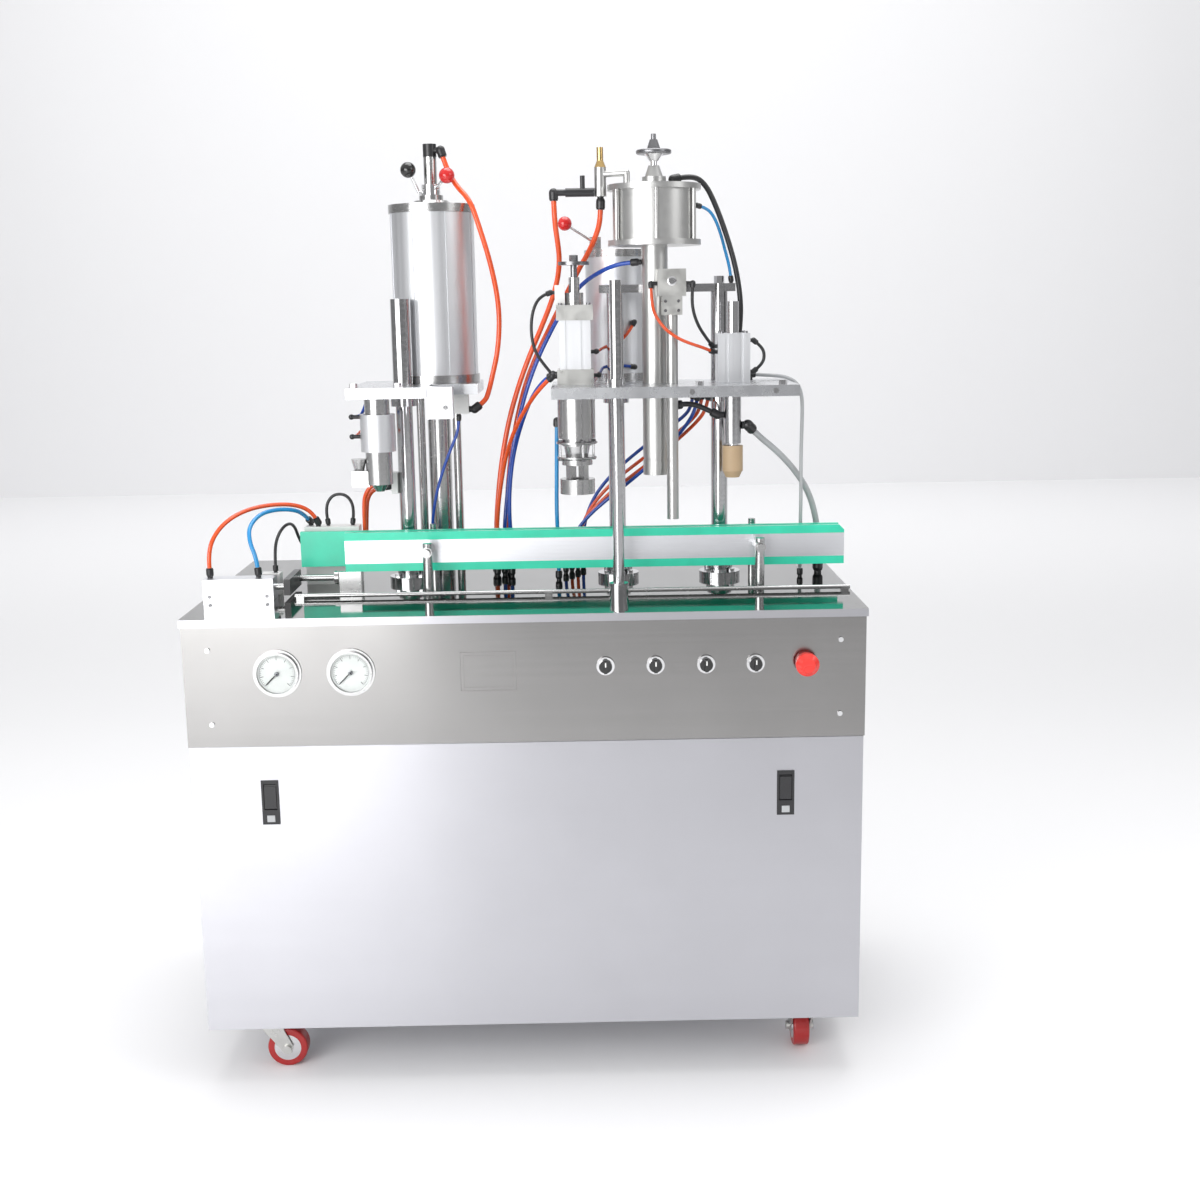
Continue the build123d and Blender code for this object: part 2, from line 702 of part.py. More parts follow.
def dosing_lever(z0, ball):
    """A clamping collar on the standpipe, its lug, and the arm that rises from the lug to a ball grip."""
    x, y = dosing_axis
    z = z0 + lever_collar_height / 2
    away = Vector(ball[0] - x, ball[1] - y, 0).normalized()
    root = Vector(x, y, z) + away * (lever_collar / 2 + 5)
    inner = Vector(x, y, z) + away * (lever_collar / 2 - 3)
    collar = post(x, y, z0, z0 + lever_collar_height, lever_collar, standpipe + 2 * running)
    lug = between((inner.X, inner.Y, z), (root.X, root.Y, z), lever_collar_height - 2)
    return collar + (lug + ball_arm(root, ball, 6.0, ball_diameter))


fill_x = -278.0
fill_rod = 16.0
fill_collar = 47.0
fill_collar_z = 1208.0
fill_body = 66.0
fill_body_z = 1138.0
fill_valve_diameter = 50.0
fill_valve_z = 1076.0


def fill_head():
    """The filling head's short cylinder: a collar under the plate and the white round body."""
    top = post(fill_x, lane_y, fill_collar_z, plate_bottom, fill_collar)
    body = post(fill_x, lane_y, fill_body_z, fill_collar_z, fill_body)
    return (top + body) - post(fill_x, lane_y, fill_body_z - 1, plate_bottom + 1, fill_rod + 2 * running)


def fill_valve():
    """The moving stainless valve with its side block, spout and rod."""
    top = fill_body_z - gap
    valve = post(fill_x, lane_y, fill_valve_z, top, fill_valve_diameter)
    side = block(fill_x - 51, fill_x - 18, lane_y - 15, lane_y + 15, fill_valve_z - 4, fill_valve_z + 26)
    throat = cone(fill_x - 38, lane_y, fill_valve_z + 26, fill_valve_z + 48, 18.0, 30.0)
    spout = cone(fill_x, lane_y, fill_valve_z - 14, fill_valve_z, 16.0, 34.0)
    rod = post(fill_x, lane_y, top, plate_bottom - 2, fill_rod)
    return valve + side + throat + spout + rod


# ---- crimping station ---------------------------------------------------------------------------------
crimp_x = 97.0
crimp_width = 68.0
crimp_cap = 28.0
crimp_step = 5.0  # how far the barrel stands inside its caps
crimp_top = 1404.0
crimp_rod = 20.0
crimp_stroke = 25.0
crimp_collar = 71.0
crimp_collar_z = 1157.0
crimp_bell_z = 1052.0
adjuster_wheel = 58.0


def crimp_cylinder():
    """Two square caps, the grooved barrel, the rod's neck and the round collar below the plate."""
    half = crimp_width / 2
    low = block(crimp_x - half, crimp_x + half, lane_y - half, lane_y + half, plate_top, plate_top + crimp_cap)
    high = block(crimp_x - half, crimp_x + half, lane_y - half, lane_y + half, crimp_top - crimp_cap, crimp_top)
    inner = half - crimp_step
    barrel = block(crimp_x - inner, crimp_x + inner, lane_y - inner, lane_y + inner, plate_top + crimp_cap,
                   crimp_top - crimp_cap)
    for side in (-1, 1):
        groove_x = crimp_x + side * inner / 2
        barrel -= block(groove_x - 3, groove_x + 3, lane_y - inner - 1, lane_y - inner + 2, plate_top,
                        crimp_top)
    bore = post(crimp_x, lane_y, plate_top - 1, crimp_top + 1, crimp_rod + 2 * running)
    neck = post(crimp_x, lane_y, crimp_top, crimp_top + 22, 34.0, crimp_rod + 2 * running)
    collar = post(crimp_x, lane_y, crimp_collar_z, plate_bottom, crimp_collar, crimp_rod + 2 * running)
    return [low - bore, high - bore, barrel - bore, neck, collar]


def crimp_head():
    """The moving collet: rod, clamp ring, four jaws and the guide bell."""
    top = crimp_collar_z - gap
    head = post(crimp_x, lane_y, top - 14, top, 56.0)
    head += cone(crimp_x, lane_y, top - 40, top - 14, 40.0, 50.0)
    head += post(crimp_x, lane_y, top - 50, top - 40, 58.0)
    for turn in range(0, 360, 90):
        jaw = Pos(crimp_x, lane_y, 0) * Rot(0, 0, turn + 45) * block(9, 24, -6, 6, crimp_bell_z + 28, top - 50)
        head += jaw
    head += post(crimp_x, lane_y, crimp_bell_z, crimp_bell_z + 28, 66.0, 38.0)
    head += post(crimp_x, lane_y, top, crimp_top + 22 + crimp_stroke + 3, crimp_rod)
    return head


def crimp_adjuster():
    """The threaded spindle and small wheel that set the stroke, above the piston rod's end."""
    z0 = crimp_top + 22 + crimp_stroke + 3 + gap
    wheel = post(crimp_x, lane_y, z0 + 22, z0 + 28, adjuster_wheel)
    return post(crimp_x, lane_y, z0, z0 + 22, 12.0) + wheel + hexagon(crimp_x, lane_y, z0 + 28, z0 + 40, 14.0)


# ---- rear pressure cylinder ------------------------------------------------------------------------------
rear_axis = (181.0, 130.0)
rear_outer = 124.0
rear_flange = 128.0
rear_top = 1508.0


def rear_cylinder():
    """The booster cylinder on the plate's lug, with caps and a hollow tube."""
    x, y = rear_axis
    bottom = post(x, y, plate_top, plate_top + 14, rear_flange)
    tube = post(x, y, plate_top + 14, rear_top - 14, rear_outer, rear_outer - 12)
    top = post(x, y, rear_top - 14, rear_top, rear_flange)
    return [bottom, tube, top]


# ---- propellant drum ------------------------------------------------------------------------------------
drum_x = 247.0
drum_body = 153.0
drum_flange = 172.0
drum_z0 = 1509.0
drum_z1 = 1618.0
drum_lid = 10.0
drum_tube = 49.0
drum_foot_z = 1086.0
spindle = 12.0
handwheel_diameter = 65.0
handwheel_z = 1676.0
pin_x = 276.0
pin_y = -72.0
pin_tube = 22.0
pin_bottom = 1005.0
valve_block_z = (1383.0, 1466.0)


def drum():
    """The metering drum on its tube, the cone and gland on its lid, and the cylinder under the plate."""
    tube = post(drum_x, lane_y, plate_top, drum_z0, drum_tube, drum_tube - 8)
    low = post(drum_x, lane_y, drum_z0, drum_z0 + drum_lid, drum_flange)
    wall = post(drum_x, lane_y, drum_z0 + drum_lid, drum_z1 - drum_lid, drum_body, drum_body - 10)
    lid = post(drum_x, lane_y, drum_z1 - drum_lid, drum_z1, drum_flange)
    lid += post(drum_x, lane_y, drum_z1, drum_z1 + 14, 44.0)
    lid += cone(drum_x, lane_y, drum_z1 + 14, drum_z1 + 34, 34.0, 20.0)
    lid -= post(drum_x, lane_y, drum_z1 - drum_lid - 1, drum_z1 + 40, spindle + 2 * running)
    lower = post(drum_x, lane_y, drum_foot_z, plate_bottom, drum_tube)
    lower -= post(drum_x, lane_y, drum_foot_z + 28, drum_foot_z + 32, drum_tube + 2, drum_tube - 4)
    return [tube, low, wall, lid, lower]


def drum_ties():
    """Six stay bars round the drum between its flanges."""
    bars = []
    for turn in range(30, 390, 60):
        radius = drum_flange / 2 - 5
        x = drum_x + radius * cos(radians(turn))
        y = lane_y + radius * sin(radians(turn))
        bars.append(post(x, y, drum_z0 + drum_lid, drum_z1 - drum_lid, 8.0))
    return bars


def drum_handwheel():
    """Spindle, dished handwheel and top nut."""
    wheel = post(drum_x, lane_y, drum_z1 - drum_lid, handwheel_z - 4, spindle)
    wheel += cone(drum_x, lane_y, handwheel_z - 16, handwheel_z - 4, 16.0, 34.0)
    disc = post(drum_x, lane_y, handwheel_z - 4, handwheel_z + 4, handwheel_diameter)
    disc = fillet(disc.edges(), 3)
    nut = cone(drum_x, lane_y, handwheel_z + 4, handwheel_z + 22, 26.0, 14.0)
    return wheel + disc + nut + post(drum_x, lane_y, handwheel_z + 22, handwheel_z + 32, 9.0)


def hold_down():
    """The slim stay tube beside the drum with the grey valve block on top of it."""
    z0, z1 = valve_block_z
    tube = post(pin_x, pin_y, pin_bottom, z0, pin_tube)
    body = block(pin_x - 26, pin_x + 26, pin_y - 14, pin_y + 11, z0 + 34, z1)
    body += block(pin_x - 19, pin_x + 19, pin_y - 12, pin_y + 9, z0, z0 + 34)
    return [tube, body]


# ---- gas station ----------------------------------------------------------------------------------------
gas_x = 392.0
gas_width = 60.0
gas_top = 1348.0
gas_tube = 32.0
gas_tube_z = 1142.0
gas_rod = 22.0
gas_stroke = 40.0
gas_bushing = 39.0
gas_tip = 1078.0
gas_bushing_z = (1090.0, 1138.0)


def gas_cylinder():
    """The compact square cylinder on the plate and the fixed nozzle tube under it."""
    half = gas_width / 2
    body = block(gas_x - half, gas_x + half, lane_y - half, lane_y + half, plate_top, gas_top)
    for side in (-1, 1):
        body -= block(gas_x + side * 14 - 3, gas_x + side * 14 + 3, lane_y - half - 1, lane_y - half + 2.5,
                      plate_top - 1, gas_top + 1)
    tube = post(gas_x, lane_y, gas_tube_z, plate_top, gas_tube)
    bore = post(gas_x, lane_y, gas_tube_z - 1, gas_top + 1, gas_rod + 2 * running)
    return [body - bore, tube - bore]


def gas_nozzle():
    """Piston rod, moulded bushing and tapered tip."""
    z0, z1 = gas_bushing_z
    nozzle = post(gas_x, lane_y, z0, z1, gas_bushing)
    nozzle += cone(gas_x, lane_y, gas_tip, z0, 26.0, gas_bushing - 2)
    nozzle += post(gas_x, lane_y, z1, gas_top + gas_stroke + 18, gas_rod)
    return nozzle


# ---- inlet pipe, throttle and lever valve round the drum ---------------------------------------------------
lever_valve_x = (128.0, 150.0)
lever_valve_y = (92.0, 114.0)
lever_valve_height = 24.0
lever_pivot = (139.0, 84.0, rear_top + 12.0)
lever_ball = (81.0, 78.0, 1557.0)
lever_pin = 8.0
red_ball_diameter = 27.0
inlet_x = 149.0
inlet_y = -12.0
inlet_z = (1600.0, 1652.0)
inlet_barrel = 22.0
cross_z = 1640.0
cross_pipe = 12.0
cross_end_x = drum_x - 50.0
throttle_z = 1604.0
throttle_x0 = 84.0


def inlet_pipe():
    """The upright inlet barrel with its capped top, held by the bent pipe that rises from the drum's lid."""
    z0, z1 = inlet_z
    barrel = post(inlet_x, inlet_y, z0, z1, inlet_barrel)
    barrel += cone(inlet_x, inlet_y, z1, z1 + 12, inlet_barrel, 12.0)
    barrel += post(inlet_x, inlet_y, z1 + 12, z1 + 36, 12.0)
    across = between((inlet_x, inlet_y, cross_z), (cross_end_x, lane_y, cross_z), cross_pipe)
    corner = Pos(cross_end_x, lane_y, cross_z) * Sphere(cross_pipe / 2)
    return barrel + across + corner + post(cross_end_x, lane_y, drum_z1, cross_z, cross_pipe)


def throttle():
    """The black flow throttle on the inlet barrel with its adjusting screw."""
    body = bar_x(throttle_x0, inlet_x - inlet_barrel / 2 - seat, inlet_y, throttle_z + 4, 16.0)
    return body + post(116, inlet_y, throttle_z + 4, throttle_z + 34, 9.0)


def valve_lever():
    """The lever with its red ball, turning on the hand valve's pin."""
    x, y, z = lever_pivot
    eye = bar_y(x, y - 6, y + 6, z, 18.0)
    root = Vector(x, y, z) + (Vector(*lever_ball) - Vector(x, y, z)).normalized() * (lever_pin / 2 + 2)
    lever = eye + ball_arm(root, lever_ball, 6.0, red_ball_diameter)
    return lever - bar_y(x, y - 8, y + 8, z, lever_pin + 2 * running)


def lever_valve():
    """The hand valve on the rear cylinder's cap, with the pin that carries the lever."""
    x, y, z = lever_pivot
    body = block(*lever_valve_x, *lever_valve_y, rear_top, rear_top + lever_valve_height)
    return body + bar_y(x, y - 8, lever_valve_y[0], z, lever_pin)


# ---- valve blocks ---------------------------------------------------------------------------------------
lane_block_x = (-436.0, -330.0)
lane_block_y = (18.0, 54.0)
lane_block_top = 988.0
pusher_block_x = (-505.0, -468.0)
pusher_block_y = (-86.0, -56.0)
pusher_block_top = 915.0
crimp_block_top = 1440.0
hose_block_x = (-140.0, -112.0)
hose_block_y = (50.0, 76.0)
hose_block_z0 = 1200.0


def valve_blocks():
    """Pale valve and connector blocks on the deck, on the left column and on the crimper, and the hand valve."""
    column_x, column_y = columns["left"]
    left_face = column_x - column_diameter / 2 - seat
    crimp_side = crimp_x - crimp_width / 2
    return [
        block(*lane_block_x, *lane_block_y, deck_height, lane_block_top),
        block(*pusher_block_x, *pusher_block_y, deck_height, pusher_block_top),
        block(left_face - 12, left_face, column_y - 18, column_y + 18, 1050, 1090),
        block(crimp_side - 2, crimp_x - 17 - seat, lane_y - 15, lane_y + 15, crimp_top, crimp_block_top),
        block(*hose_block_x, *hose_block_y, hose_block_z0, plate_bottom),
        lever_valve(),
    ]


# ---- air service unit inside the cabinet ----------------------------------------------------------------
unit_x = port_xs["air"]
unit_z = 560.0


def air_unit():
    """Filter-regulator, lubricator bowl and the valve island on the cabinet's middle ring."""
    rail = block(unit_x - 120, unit_x + 260, lower_inner_y - angle_wall - 4, lower_inner_y - angle_wall,
                 unit_z - 140, seam_height - angle_leg + 20)
    back = lower_inner_y - angle_wall - 4
    island = block(unit_x + 60, unit_x + 240, back - 60, back, unit_z - 60, unit_z)
    pieces = [rail, island]
    for offset in (-70, 0):
        body = block(unit_x + offset - 25, unit_x + offset + 25, back - 50, back, unit_z - 30, unit_z + 30)
        body += post(unit_x + offset, back - 25, unit_z - 110, unit_z - 30, 44.0)
        body += post(unit_x + offset, back - 25, unit_z + 30, unit_z + 46, 30.0)
        pieces.append(body)
    return pieces


# ---- fasteners ------------------------------------------------------------------------------------------
def screw_y(x, z, diameter=9.0, height=3.0):
    """A domed screw head on the front face."""
    return bar_y(x, front - height, front, z, diameter)


def fasteners():
    """Screw heads on the fascia, bolts of the column feet, plate screws and the columns' top nuts."""
    pieces = []
    for side in (-1, 1):
        for z in (686.0, 820.0):
            pieces.append(screw_y(side * 555.0, z))
    foot_top = deck_height + flange_height
    for x, y in columns.values():
        for turn in (45, 135, 225, 315):
            bolt_x = x + bolt_circle / 2 * cos(radians(turn))
            bolt_y = y + bolt_circle / 2 * sin(radians(turn))
            pieces.append(hexagon(bolt_x, bolt_y, foot_top, foot_top + 6, 10.0))
    right = columns["right"]
    pieces.append(hexagon(*right, tie_bar_z1, tie_bar_z1 + 14, 17.0))
    for x in (320.0, 470.0):
        pieces.append(hexagon(x, main_plate_y[0] + 22, plate_top, plate_top + 8, 13.0))
        pieces.append(bar_y(x - 15, main_plate_y[0] - 2, main_plate_y[0], plate_bottom + 10, 10.0))
    for x in (-318.0, -236.0):
        pieces.append(hexagon(x, left_plate_y[0] + 24, plate_top, plate_top + 8, 13.0))
    for x in (-168.0, -146.0):
        pieces.append(bar_y(x, bracket_y[0] - 2, bracket_y[0], plate_bottom - 18, 9.0))
    return pieces


# ---- hoses ----------------------------------------------------------------------------------------------
# node: list of (diameter, start, route, end). A start or an end is the seat that its fitting stands on, or
# the fitting's corner and then its seat. The hose's own ends follow from the fittings.
hoses = {
    "hose_dosing": [
        (10.0, [(-155, 117, 1700), (-177, 126, 1700)],
         [(-145, 113, 1668), (-128, 104, 1634), (-99, 74, 1604), (-84, 68, 1560), (-62, 72, 1484), (-48, 78, 1402),
          (-52, 80, 1326), (-66, 76, 1268), (-74, 70, 1238), (-80, 66, 1224)],
         [(-101, 63, 1208), (-112, 63, 1208)]),
    ],
    "tubes_orange": [
        (8.0, [(-271, 26, 1072), (-263.3, 26, 1072)],
         [(-296, 26, 1069), (-309, 28, 1060), (-317, 30, 1046), (-320, 33, 1030), (-321, 35, 1000)],
         [(-321, 36, 960), (-330, 36, 960)]),
        (8.0, [(-271, 44, 1062), (-263.3, 44, 1062)],
         [(-295, 45, 1059), (-308, 46, 1050), (-315, 47, 1036), (-317, 48, 1020), (-319, 48, 990)],
         [(-321, 48, 944), (-330, 48, 944)]),
        (6.0, [(-327, -35, 1166), (-311.3, -35, 1166)],
         [(-328, 8, 1163), (-326, 38, 1165), (-316, 60, 1176), (-302, 74, 1194)], [(-290, 80, 1238)]),
        (8.0, [(-590, -120, 915)],
         [(-591, -119, 958), (-583, -110, 990), (-561, -86, 1018), (-528, -52, 1034), (-490, -18, 1038),
          (-452, 10, 1034), (-423, 24, 1020)], [(-410, 29, 988)]),
        (10.0, [(62, -12, 1608), (84, -12, 1608)],
         [(63, -10, 1558), (67, -2, 1526), (71, 12, 1490), (66, 32, 1450), (52, 54, 1408), (32, 72, 1362),
          (8, 84, 1310), (-16, 92, 1250), (-37, 96, 1182), (-52, 97, 1110), (-62, 95, 1036), (-68, 94, 962)],
         [(-68, 94, deck_height)]),
        (10.0, [(149, -12, 1600)],
         [(148, -10, 1556), (139, 1, 1528), (124, 18, 1498), (105, 40, 1468), (88, 62, 1436), (68, 82, 1400),
          (46, 98, 1358), (20, 108, 1308), (-4, 112, 1250), (-22, 114, 1182), (-36, 113, 1110),
          (-44, 110, 1036), (-48, 108, 962)], [(-48, 108, deck_height)]),
        (8.0, [(54, -54, 1274), (63, -54, 1274)],
         [(34, -42, 1256), (10, -14, 1226), (-16, 16, 1184), (-38, 44, 1132), (-52, 66, 1074), (-62, 74, 1010),
          (-66, 73, 948)], [(-66, 73, deck_height)]),
        (6.0, [(238, -74, 1440), (250, -74, 1440)],
         [(239, -79, 1402), (247, -89, 1378), (264, -96, 1356), (287, -93, 1340), (311, -81, 1330),
          (333, -68, 1323)], [(354, -52, 1314), (362, -52, 1314)]),
        (6.0, [(212, 66, 1370), (208.1, 73.9, 1370)],
         [(196, 60, 1342), (170, 62, 1328), (150, 48, 1322), (145, 22, 1319)],
         [(136, -16, 1317), (126, -16, 1317)]),
        (7.0, [(350, 2, plate_bottom)],
         [(345, 9, 1202), (328, 22, 1178), (296, 44, 1146), (258, 68, 1112), (216, 90, 1078), (172, 104, 1044),
          (130, 112, 1006), (98, 116, 962), (82, 118, 922)], [(82, 118, deck_height)]),
        (7.0, [(340, 30, plate_bottom)],
         [(336, 35, 1202), (320, 46, 1180), (290, 66, 1152), (252, 88, 1122), (212, 110, 1090), (170, 126, 1056),
          (130, 136, 1014), (104, 140, 968), (94, 142, 928)], [(94, 142, deck_height)]),
    ],
    "tubes_blue": [
        (6.0, [(-132, 60, hose_block_z0)],
         [(-134, 60, 1166), (-149, 62, 1134), (-168, 66, 1088), (-184, 70, 1036), (-193, 73, 982),
          (-195, 75, 932)], [(-195, 75, deck_height)]),
        (6.0, [(-327, -35, 1203), (-311.3, -35, 1203)],
         [(-327, 4, 1202), (-324, 30, 1200), (-318, 50, 1202)], [(-309, 66, plate_bottom)]),
        (8.0, [(-500, -120, 915)],
         [(-503, -119, 952), (-515, -112, 980), (-519, -92, 1006), (-504, -60, 1026), (-478, -30, 1030),
          (-452, -6, 1026), (-438, 18, 1016)], [(-427, 44, 988)]),
        (8.0, [(214, -34, 1480), (222.2, -35, 1480)],
         [(186, -28, 1478), (164, -15, 1472), (142, 2, 1462), (116, 24, 1446), (93, 44, 1422), (72, 62, 1392),
          (50, 78, 1354), (24, 90, 1304), (0, 97, 1244), (-20, 100, 1174), (-35, 98, 1100), (-45, 93, 1028),
          (-52, 88, 958)], [(-52, 88, deck_height)]),
        (8.0, [(54, -14, 1276), (63, -14, 1276)],
         [(34, -4, 1262), (12, 16, 1232), (-8, 40, 1186), (-26, 62, 1128), (-36, 72, 1070), (-40, 74, 1008),
          (-37, 71, 948)], [(-37, 71, deck_height)]),
        (6.0, [(328, -7, 1582), (319.6, -9.9, 1582)],
         [(349, -1, 1576), (363, 9, 1559), (375, 21, 1531), (385, 31, 1497), (393, 36, 1470)],
         [(396, 37, tie_bar_z1)]),
        (6.0, [(212, 66, 1284), (208.1, 73.9, 1284)],
         [(190, 62, 1287), (168, 61, 1288), (150, 47, 1285), (146, 22, 1280)],
         [(141, -16, 1273), (131, -16, 1273)]),
        (7.0, [(324, 52, plate_bottom)],
         [(320, 58, 1204), (306, 66, 1186), (280, 84, 1166), (246, 106, 1138), (208, 128, 1106), (168, 146, 1070),
          (132, 158, 1026), (112, 163, 980), (105, 165, 936)], [(105, 165, deck_height)]),
        (7.0, [(328, -14, plate_bottom)],
         [(323, -8, 1202), (306, 8, 1172), (276, 30, 1134), (240, 54, 1096), (200, 74, 1060), (158, 88, 1026),
          (116, 94, 990), (86, 95, 952), (70, 95, 918)], [(70, 95, deck_height)]),
    ],
    "tubes_black": [
        (6.0, [(-478, -70, pusher_block_top)],
         [(-478, -68, 952), (-477, -54, 974), (-472, -32, 990), (-465, -8, 998), (-459, 14, 996), (-455, 30, 984),
          (-452, 38, 966)], [(-443, 50, 940), (-436, 50, 940)]),
        (6.0, [(-392, 36, lane_block_top)],
         [(-395, 36, 1016), (-391, 37, 1036), (-378, 38, 1049), (-358, 38, 1049), (-345, 37, 1036),
          (-341, 36, 1016)], [(-344, 36, lane_block_top)]),
        (6.0, [(53, -35, 1427), (61, -35, 1427)],
         [(34, -35, 1420), (22, -36, 1402), (16, -37, 1376), (16, -38, 1346), (22, -38, 1320), (34, -37, 1300)],
         [(55, -35, 1274), (63, -35, 1274)]),
        (6.0, [(315, -74, 1440), (302, -74, 1440)],
         [(313, -73, 1408), (317, -69, 1384), (326, -62, 1362), (338, -54, 1344)],
         [(354, -40, 1324), (362, -40, 1324)]),
        (6.0, [(431, -35, 1334), (422, -35, 1334)], [(448, -35, 1320), (452, -35, 1305), (448, -35, 1290)],
         [(431, -35, 1276), (422, -35, 1276)]),
    ],
    "hose_drum": [
        (10.0, [(284, 0, 1630), (284, 0, drum_z1)],
         [(322, 7, 1637), (346, 11, 1621), (366, 12, 1580), (387, 13, 1523), (404, 15, 1464), (413, 17, 1404),
          (411, 18, 1352), (404, 18, 1308)], [(404, 18, plate_top)]),
    ],
    "tube_crimp_supply": [
        (8.0, [(59, 17, 1186), (75.8, -6, 1186)], [(57, 17, 1092), (55, 18, 1014), (57, 18, 944)],
         [(57, 18, deck_height)]),
    ],
    "hose_gas": [
        (12.0, [(421, -33, 1176), (408.3, -35, 1176)],
         [(446, -13, 1151), (482, 7, 1122), (520, 27, 1082), (550, 43, 1036), (566, 51, 982), (570, 53, 932)],
         [(570, 53, deck_height)]),
        (10.0, [(283, -35, 1215), (271.8, -35, 1215)], [(308, -33, 1218), (330, -33, 1213)],
         [(364, -35, 1196), (375.7, -35, 1196)]),
    ],
    "tube_drop": [
        (7.0, [(432, 25, 1268), (432, 25, plate_top)],
         [(470, 22, 1266), (500, 17, 1263), (521, 14, 1251), (530, 13, 1228), (531, 13, 1190), (529, 13, 1120),
          (530, 14, 1030), (529, 14, 960)], [(529, 14, deck_height)]),
    ],
}
socket_length = 1.2  # of every fitting's socket, in hose diameters
socket_width = 1.7
corner_height = 0.9
stem_width = 1.2


def fitting_corner(diameter, stem, inner):
    """Where a fitting's stem meets its socket: given, or straight above or below its seat."""
    if len(stem) > 1:
        return Vector(*stem[0])
    x, y, z = stem[0]
    side = 1 if inner[2] > z else -1
    return Vector(x, y, z + side * corner_height * diameter)


def hose_end(diameter, corner, inner):
    """The hose's end face, a socket's length from the fitting's corner towards the hose's next point."""
    return corner + (Vector(*inner) - corner).normalized() * socket_length * diameter


def fitting(diameter, corner, end, seat):
    """A push-in fitting: the socket that takes the hose, a round corner and the stem down to its seat."""
    socket = (end - corner).normalized()
    stem = (Vector(*seat) - corner).normalized()
    across = socket.cross(stem)
    if across.length < 0.1:
        across = socket.cross(Vector(0.6, 0.8, 0.1))
    outside = across.cross(socket) if (socket + stem).length < 0.5 else -(socket + stem)
    ball = Plane(origin=corner, x_dir=outside, z_dir=across) * Sphere(socket_width / 2 * diameter)
    shape = ball + between((corner.X, corner.Y, corner.Z), (end.X, end.Y, end.Z), socket_width * diameter)
    return shape + between((corner.X, corner.Y, corner.Z), seat, stem_width * diameter)


def corner_radii(points):
    """The tangent arcs at a route's inner points, as large as the two runs beside each allow."""
    radii = []
    for before, here, after in zip(points, points[1:], points[2:]):
        arriving = here - before
        leaving = after - here
        turn = radians(arriving.get_angle(leaving))
        radii.append(0.45 * min(arriving.length, leaving.length) / tan(turn / 2))
    return radii


def hose(name, diameter, points):
    """A tube swept along straight runs joined by tangent arcs."""
    path = FilletPolyline(*points, radius=corner_radii(points))
    section = Plane(origin=path @ 0, z_dir=path % 0) * Circle(diameter / 2)
    tube = sweep(section, path=path)
    ratio = tube.volume / (pi * diameter ** 2 / 4 * path.length)
    tightest = min(corner_radii(points)) / diameter
    print(name, "length", round(path.length), "mm, tightest bend", round(tightest, 1),
          "diameters, volume over section times length", round(ratio, 3))
    return tube


def pipe_cap():
    """The black cap on the dosing station's standpipe."""
    return post(*dosing_axis, standpipe_top, pipe_cap_top, standpipe + 1)


def hose_nodes():
    """Each hose node, and all the fittings that the hoses plug into."""
    fittings = [throttle()]
    for name, group in hoses.items():
        tubes = []
        for diameter, start, route, end in group:
            first = fitting_corner(diameter, start, route[0])
            last = fitting_corner(diameter, end, route[-1])
            head = hose_end(diameter, first, route[0])
            tail = hose_end(diameter, last, route[-1])
            tubes.append(hose(name, diameter, [head, *[Vector(*point) for point in route], tail]))
            fittings.append(fitting(diameter, first, head, start[-1]))
            fittings.append(fitting(diameter, last, tail, end[-1]))
            if name == "hose_dosing":
                fittings[-2] += pipe_cap()
        save(name, *tubes)
    save("fittings", *fittings)


# ---- the assembly -------------------------------------------------------------------------------------
save("cabinet_frame", *cabinet_frame(), *[caster_plate(x, y) for x, y, angle in casters.values()])
save("cabinet_shell", *lower_shell(), *upper_housing(), *rear_ports())
save("control_fascia", control_fascia())
save("deck", deck())
save("front_panel", front_panel())
save("latch_housings", *[piece for side in (-1, 1) for piece in latch_housing(side * latch_x)])
save("latch_paddle_left", latch_paddle(-latch_x))
save("latch_paddle_right", latch_paddle(latch_x))
save("gauge_cases", *[piece for x in gauge_xs for piece in gauge_case(x)])
save("gauge_lenses", *[gauge_lens(x) for x in gauge_xs])
save("gauge_needle_left", gauge_needle(gauge_xs[0]))
save("gauge_needle_right", gauge_needle(gauge_xs[1]))
bodies = [switch_body(x, selector_ring, selector_ring_height, knob_shaft + 2 * running) for x in selector_xs]
save("switch_bodies", *bodies, switch_body(stop_x, stop_ring, stop_ring_height, 10.0 + 2 * running))
for number, x in enumerate(selector_xs, start=1):
    save(f"selector_knob_{number}", selector_knob(x))
save("emergency_stop_button", stop_button())
for name, (x, y, angle) in casters.items():
    save(f"caster_fork_{name}", *placed(caster_fork(), x, y, angle))
    save(f"caster_wheel_{name}", *placed(caster_wheel(), x, y, angle))
save("columns", *column_pieces())
save("station_plates", main_plate(), *left_plate())
save("front_guide_rail", front_rail())
save("guide_strips", *guide_strips())
save("guide_brackets", *guide_brackets(), low_rod())
save("pusher_cylinder", pusher_body())
save("pusher_slide", pusher_slide())
save("dosing_cylinder", *dosing_cylinder())
save("dosing_piston", dosing_piston())
save("metering_tube", *metering_tubes())
save("dosing_lever_black", dosing_lever(neck_top + 1, black_ball))
save("dosing_lever_red", dosing_lever(neck_top + 1 + lever_collar_height + 1, red_ball))
save("fill_head", fill_head())
save("fill_valve", fill_valve())
save("crimp_cylinder", *crimp_cylinder())
save("crimp_head", crimp_head())
save("crimp_adjuster", crimp_adjuster())
save("rear_cylinder", *rear_cylinder())
save("drum", *drum(), *drum_ties(), *hold_down(), inlet_pipe())
save("drum_handwheel", drum_handwheel())
save("gas_cylinder", *gas_cylinder())
save("gas_nozzle", gas_nozzle())
save("valve_lever", valve_lever())
save("valve_blocks", *valve_blocks(), *air_unit())
save("fasteners", *fasteners())
hose_nodes()
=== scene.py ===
"""A wheeled piston filling machine: materials, hoses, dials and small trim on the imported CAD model."""

from math import cos, pi, radians, sin

